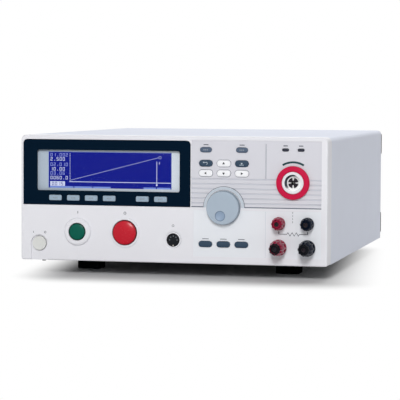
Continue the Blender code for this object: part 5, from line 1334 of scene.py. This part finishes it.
@dataclass(frozen=True)
class BindingPost:
    """A binding post: flange and stud, brass insert and a fluted cap."""

    node: str
    kind: PostKind
    finish: Finish
    flange: float = 0.004
    back: float = 0.0002
    stud: float = 0.0024
    tail: Pair = (0.0042, 0.014)
    insert: Pair = (0.0020, 0.0040)
    insert_sink: float = 0.0012
    flutes: int = 10
    groove: float = 0.12
    taper: float = 0.72
    nose_length: float = 0.0032
    gap: float = 0.0003

    def build(self) -> None:
        """Builds the post's three parts."""
        radius, nose, reach, sleeved = self.kind.value
        spot = on_front(f"{self.node}_base")
        face = self.back - self.flange
        stud_end = 0.004 - reach
        tail, tail_end = self.tail
        base = [(0, stud_end), (self.stud - CHAMFER, stud_end), (self.stud, stud_end + CHAMFER),
                (self.stud, face), *round_over(radius, face, 0.0005), (radius, self.back), (tail, self.back),
                (tail, tail_end), (0, tail_end)]
        Shape(f"{self.node}_flange", self.finish).add(turned(base, 80), spot).publish(f"{self.node}_base")
        bolt = [(0, stud_end - SKIN), (self.stud - 0.0002, stud_end - SKIN),
                (self.stud + SKIN, stud_end + 0.0002), (self.stud + SKIN, face + 0.0001), (0, face + 0.0001)]
        Shape(f"{self.node}_stud", DARK_METAL).add(turned(bolt, 48), spot).publish()
        self.build_insert(spot, reach, face, stud_end)
        cap_back, front, bore = face - self.gap, SKIN - reach, self.insert[1] + self.gap
        taper_end = self.taper * (reach + cap_back) - reach
        profile = [(bore, cap_back), (bore, front + CHAMFER), (bore + CHAMFER, front),
                   (nose - CHAMFER, front), (nose, front + CHAMFER), (radius, taper_end),
                   (radius, cap_back - 0.0004), (radius - 0.0003, cap_back)]
        cap = waved(turned(profile, self.flutes * 14, True), bore + 0.0004, self.flutes, self.groove)
        Shape(f"{self.node}_grip", self.finish, f"{self.node}_cap").add(cap, spot).publish(
            f"{self.node}_cap", sharp=40)
        if sleeved:
            self.build_nose(spot, (nose, radius), (-reach, taper_end), bore)
        hole, edge = self.insert[0] + (0.0002 if sleeved else 0.0006), self.insert[1] - 0.0003
        lip = self.insert_sink - reach
        disc = [(hole, lip + 0.0002), (hole, lip - SKIN), (edge, lip - SKIN), (edge, lip + 0.0002)]
        Shape(f"{self.node}_bush", NOSE_BLACK if sleeved else self.finish, f"{self.node}_insert").add(
            turned(disc, 64, True), spot).publish()

    def build_nose(self, spot: Point, radii: Pair, depths: Pair, bore: float) -> None:
        """The black sleeve round the cap's nose.

        Args:
            spot: Where the post's axis meets the front panel's face.
            radii: The cap's radius at its front and where its taper ends.
            depths: The depths of these two places.
            bore: The radius of the cap's bore.
        """
        (nose, radius), (front, taper_end) = radii, depths
        share = self.nose_length / (taper_end - front)
        rear, rear_depth = nose + (radius - nose) * share + SKIN, front + self.nose_length
        section = [(bore + 0.0001, front + 0.0003), (bore + 0.0001, front + 0.0001), (bore + 0.0002, front),
                   (nose - CHAMFER, front), (nose + SKIN, front + CHAMFER), (rear, rear_depth),
                   (rear - 0.0003, rear_depth), (nose - 0.0003, front + 0.0008)]
        sleeve = waved(turned(section, self.flutes * 14, True), bore + 0.0004, self.flutes, self.groove)
        Shape(f"{self.node}_nose", NOSE_BLACK, f"{self.node}_cap").add(sleeve, spot).publish(sharp=40)

    def build_insert(self, spot: Point, reach: float, face: float, stud_end: float) -> None:
        """The metal insert with its plug bore.

        Args:
            spot: Where the post's axis meets the front panel's face.
            reach: How far the cap stands before the panel.
            face: The depth of the flange's front.
            stud_end: The depth of the stud's end.
        """
        hole, outer = self.insert
        lip, back = self.insert_sink - reach, face - 0.0009
        bore = self.stud + self.gap
        profile = [(hole, lip + CHAMFER), (hole + CHAMFER, lip), (outer - CHAMFER, lip),
                   (outer, lip + CHAMFER), (outer, back), (bore, back), (bore, stud_end - 0.0003),
                   (hole, stud_end - 0.0003)]
        Shape(f"{self.node}_sleeve", BRASS, f"{self.node}_insert").add(
            turned(profile, 64, True), spot).publish(f"{self.node}_insert")


# Case and rear


@dataclass(frozen=True)
class Case:
    """The painted cover, the tray with its feet, and the rear bumpers."""

    def build(self) -> None:
        """Builds the case's pieces."""
        refined("top_cover", COVER, 0.0002, degrees=40)
        refined("chassis", STEEL)
        for place in ("front_left", "front_right", "rear_left", "rear_right"):
            refined(f"foot_{place}", RUBBER, 0.0012, degrees=60)
        for place in ("upper_left", "upper_right", "lower_left", "lower_right"):
            refined(f"rear_bumper_{place}", BUMPER, 0.0004, degrees=60)


@dataclass(frozen=True)
class Connector:
    """A connector on the interface plate: its dark insert, and the number of pins in its upper row."""

    x: float
    width: float
    height: float
    face: float
    pins: int = 0


@dataclass(frozen=True)
class Rear:
    """The rear panel with its grille, inlet, connectors, screws and earth stud."""

    fan_screw: float = 0.03575
    screw_radius: float = 0.0031
    plate_screw: Pair = (0.0455, 0.0175)
    plate_face: float = 0.4140
    inlet_screw: float = 0.0200
    inlet_face: float = 0.4153
    earth_stud: Pair = (0.058, 0.050)
    screw_crown: tuple[Pair, ...] = ((0.45, 0.96), (0.8, 0.7), (1.0, 0.3))
    screw_height: float = 0.62
    socket_z: float = 0.110
    pin_pitch: Pair = (0.00277, 0.0014)
    connectors: tuple[Connector, ...] = (Connector(0.032, 0.0340, 0.0058, 0.4190, 13),
                                         Connector(0.071, 0.0130, 0.0058, 0.4190, 5),
                                         Connector(0.093, 0.0085, 0.0075, 0.4155))

    def build(self) -> None:
        """Builds the rear's pieces."""
        refined("rear_panel", REAR_PAINT, 0.0002, degrees=50)
        refined("mains_inlet", BLACK, 0.0003, degrees=50)
        refined("interface_plate", STEEL, 0.0002, degrees=50)
        refined("fan_frame", BLACK)
        refined("fan_rotor", BLACK, body="fan_rotor")
        self.build_screws()
        self.build_contacts()

    def screw(self, piece: Shape, x: float, depth: float, z: float, radius: float) -> None:
        """Adds a pan-head screw that faces rearward.

        Args:
            piece: The piece that gathers the screws.
            x: Its place.
            depth: The depth of the face that it sits on.
            z: Its height.
            radius: Its head's radius.
        """
        height = radius * self.screw_height
        crown = [(radius * out, -height * up) for out, up in self.screw_crown]
        part = turned([(0, -height), *crown, (radius, 0.0004), (0, 0.0004)], 40)
        tip = [v for v in part.verts if v.co.y < -height * 0.9 and math.hypot(v.co.x, v.co.z) < radius * 0.2]
        bmesh.ops.translate(part, vec=(0, height * 0.35, 0), verts=tip)
        piece.add(part, (x, at(depth), z), 180, 180)

    def build_screws(self) -> None:
        """The screws of the fan, the inlet, the interface plate and the cover, and the earth stud."""
        fan, inlet, fittings = middle("fan_frame"), middle("mains_inlet"), middle("interface_plate")
        screws = Shape("rear_screws", STEEL)
        for side in (-1, 1):
            for rise in (-1, 1):
                self.screw(screws, fan.x + side * self.fan_screw, REAR_FACE, fan.z + rise * self.fan_screw,
                           self.screw_radius)
                self.screw(screws, fittings.x + side * self.plate_screw[0], self.plate_face,
                           fittings.z + rise * self.plate_screw[1], 0.0024)
            self.screw(screws, inlet.x + side * self.inlet_screw, self.inlet_face, inlet.z, 0.0027)
        screws.publish()
        x, z = self.earth_stud
        nut = Shape("earth_stud_nut", NICKEL)
        for profile, sides in (
                ([(0, -0.0006), (0.0056, -0.0006), (0.0056, 0.0002), (0, 0.0002)], 48),
                ([(0, -0.0034), (0.0036, -0.0034), (0.0042, -0.0030), (0.0042, 0), (0, 0)], 6),
                ([(0, -0.0084), (0.0016, -0.0084), (0.0021, -0.0078), (0.0021, 0), (0, 0)], 32)):
            nut.add(turned(profile, sides), (x, at(REAR_FACE), z), 180, 180)
        nut.publish()

    def build_contacts(self) -> None:
        """The dark inserts of the connectors, and the two rows of pins in those that have them."""
        inserts, pins = Shape("interface_inserts", BLACK), Shape("interface_contacts", NICKEL)
        pin = [(0, -0.0006), (0.0003, -0.0006), (0.0005, -0.0003), (0.0005, 0.0004), (0, 0.0004)]
        pitch, rise = self.pin_pitch
        for socket in self.connectors:
            insert = block((socket.width, 0.0004, socket.height), 0.0001)
            inserts.add(insert, (socket.x, at(socket.face), self.socket_z))
            for row, number in ((rise, socket.pins), (-rise, socket.pins - 1)):
                for index in range(number):
                    x = socket.x + (index - (number - 1) / 2) * pitch
                    pins.add(turned(pin, 12), (x, at(socket.face), self.socket_z + row), 180, 180)
        inserts.publish()
        pins.publish()


@dataclass(frozen=True)
class Inside:
    """The pieces inside the case, which keep their CAD shapes."""

    def build(self) -> None:
        """Gives each inner piece its finish."""
        for node, finish in (("key_board", BOARD), ("main_board", BOARD), ("hv_transformer", CORE),
                             ("amplifier_heatsink", ALUMINIUM)):
            repaint(node, finish)


# Studio


@dataclass(frozen=True)
class Lamp:
    """A soft square lamp that looks at the tester."""

    name: str
    place: Triple
    size: float
    power: float

    def build(self) -> None:
        """Hangs the lamp."""
        data = bpy.data.lights.new(self.name, "AREA")
        data.shape, data.size, data.energy = "SQUARE", self.size, self.power
        lamp = bpy.data.objects.new(self.name, data)
        lamp.location = self.place
        lamp.rotation_euler = (Vector((0, 0, 0.07)) - Vector(self.place)).to_track_quat("-Z", "Y").to_euler()
        bpy.context.scene.collection.objects.link(lamp)


@dataclass(frozen=True)
class Studio:
    """The pale floor, the soft light and the camera."""

    eye: Triple = (0.47447, -2.13334, 0.19355)
    yaw: float = 0.22581
    pitch: float = 0.0563
    roll: float = 0.00539
    lens: float = 171.42
    floor_radius: float = 8.0
    # How far round the footprint the floor keeps its shadow and painted shade before it turns white: (edge,
    # reach) across, then front to back.
    fade_reach: tuple[Pair, ...] = ((0.130, 0.070), (0.210, 0.090))
    fade_slant: float = 0.12
    # The floor's tone for bounced light, and the darker tone the camera sees near the tester, which is
    # painted shade.
    floor_tones: Pair = (0.86, 0.60)
    fill: float = 0.33
    lamps: tuple[Lamp, ...] = (Lamp("front_softbox", (0.42, -3.0, 1.45), 0.65, 52.0),
                               Lamp("rear_softbox", (0.2, 1.7, 2.4), 2.4, 56.0))

    def build(self) -> None:
        """Builds the studio."""
        scene = bpy.context.scene
        scene.view_settings.view_transform = "Standard"
        self.build_camera(scene)
        for lamp in self.lamps:
            lamp.build()
        self.build_floor()
        self.build_world(scene)

    def build_camera(self, scene: bpy.types.Scene) -> None:
        """The camera at the photograph's angle."""
        ahead = Vector((-math.sin(self.yaw), math.cos(self.yaw), 0))
        right = Vector((math.cos(self.yaw), math.sin(self.yaw), 0))
        up = Vector((0, 0, 1))
        look = math.cos(self.pitch) * ahead - math.sin(self.pitch) * up
        lift = math.cos(self.pitch) * up + math.sin(self.pitch) * ahead
        side = math.cos(self.roll) * right + math.sin(self.roll) * lift
        top = -math.sin(self.roll) * right + math.cos(self.roll) * lift
        data = bpy.data.cameras.new("camera")
        data.lens, data.sensor_width, data.sensor_fit = self.lens, 36.0, "HORIZONTAL"
        data.clip_start, data.clip_end = 0.05, 60.0
        camera = bpy.data.objects.new("camera", data)
        turn = Matrix((side, top, -look)).transposed().to_4x4()
        camera.matrix_world = Matrix.Translation(self.eye) @ turn
        scene.collection.objects.link(camera)
        scene.camera = camera

    def build_floor(self) -> None:
        """A pale round floor that keeps the tester's shadow, is seen in a darker tone near the tester as
        painted shade round that shadow, and goes over to white away from it.
        """
        part = bmesh.new()
        bmesh.ops.create_circle(part, cap_ends=True, segments=96, radius=self.floor_radius)
        data = bpy.data.meshes.new("floor")
        part.to_mesh(data)
        part.free()
        floor = bpy.data.objects.new("floor", data)
        bpy.context.scene.collection.objects.link(floor)
        tree = Tree(bpy.data.materials.new("pale_floor"))
        x, y, _ = tree.axes(tree.point())
        squares = []
        for along, (edge, reach) in zip((x + y * self.fade_slant, y), self.fade_reach):
            past = (along.maths("ABSOLUTE") - edge).maths("MAXIMUM") * (1 / reach)
            squares.append(past * past)
        fade = (squares[0] + squares[1]).maths("SQRT").smooth(0.0, 1.0)
        seen = tree.node("ShaderNodeLightPath", output="Is Camera Ray")
        # The camera sees the floor near the tester in the darker tone: painted shade round its real shadow.
        lit, painted_shade_matt = (tree.node("ShaderNodeBsdfDiffuse", values={"Color": (tone, tone, tone, 1.0)})
                     for tone in self.floor_tones)
        matt = tree.node("ShaderNodeMixShader", values={0: seen, 1: lit, 2: painted_shade_matt})
        white = tree.node("ShaderNodeEmission", values={"Color": WHITE, "Strength": 1.0})
        tree.close(tree.node("ShaderNodeMixShader", values={0: fade * seen, 1: matt, 2: white}))
        data.materials.append(tree.owner)

    def build_world(self, scene: bpy.types.Scene) -> None:
        """Even light, seen as white by the camera, by gloss and through clear plastic."""
        scene.world = bpy.data.worlds.new("studio_light")
        tree = Tree(scene.world)
        seen, gloss, through = (tree.node("ShaderNodeLightPath", output=f"Is {ray} Ray")
                                for ray in ("Camera", "Glossy", "Transmission"))
        soft, white = (tree.node("ShaderNodeBackground", values={"Color": WHITE, "Strength": strength})
                       for strength in (self.fill, 1.0))
        plain = seen.maths("MAXIMUM", gloss.maths("MAXIMUM", through))
        tree.close(tree.node("ShaderNodeMixShader", values={0: plain, 1: soft, 2: white}))


def main() -> None:
    """Builds and dresses the tester, piece by piece."""
    logging.basicConfig(level=logging.INFO, format="%(message)s")
    Studio().build()
    for unit in (FrontPanel(), DisplayUnit(), Keypad(), JogWheel(), PushButtons(), RemoteSocket(),
                 HighVoltageTerminal()):
        unit.build()
    for node, kind, finish in (("sense_high", PostKind.SENSE, POST_RED),
                               ("sense_low", PostKind.SENSE, POST_BLACK),
                               ("source_high", PostKind.SOURCE, POST_RED),
                               ("source_low", PostKind.SOURCE, POST_BLACK)):
        BindingPost(node, kind, finish).build()
    for unit in (Case(), Rear(), Inside()):
        unit.build()


if __name__ == "__main__":
    main()
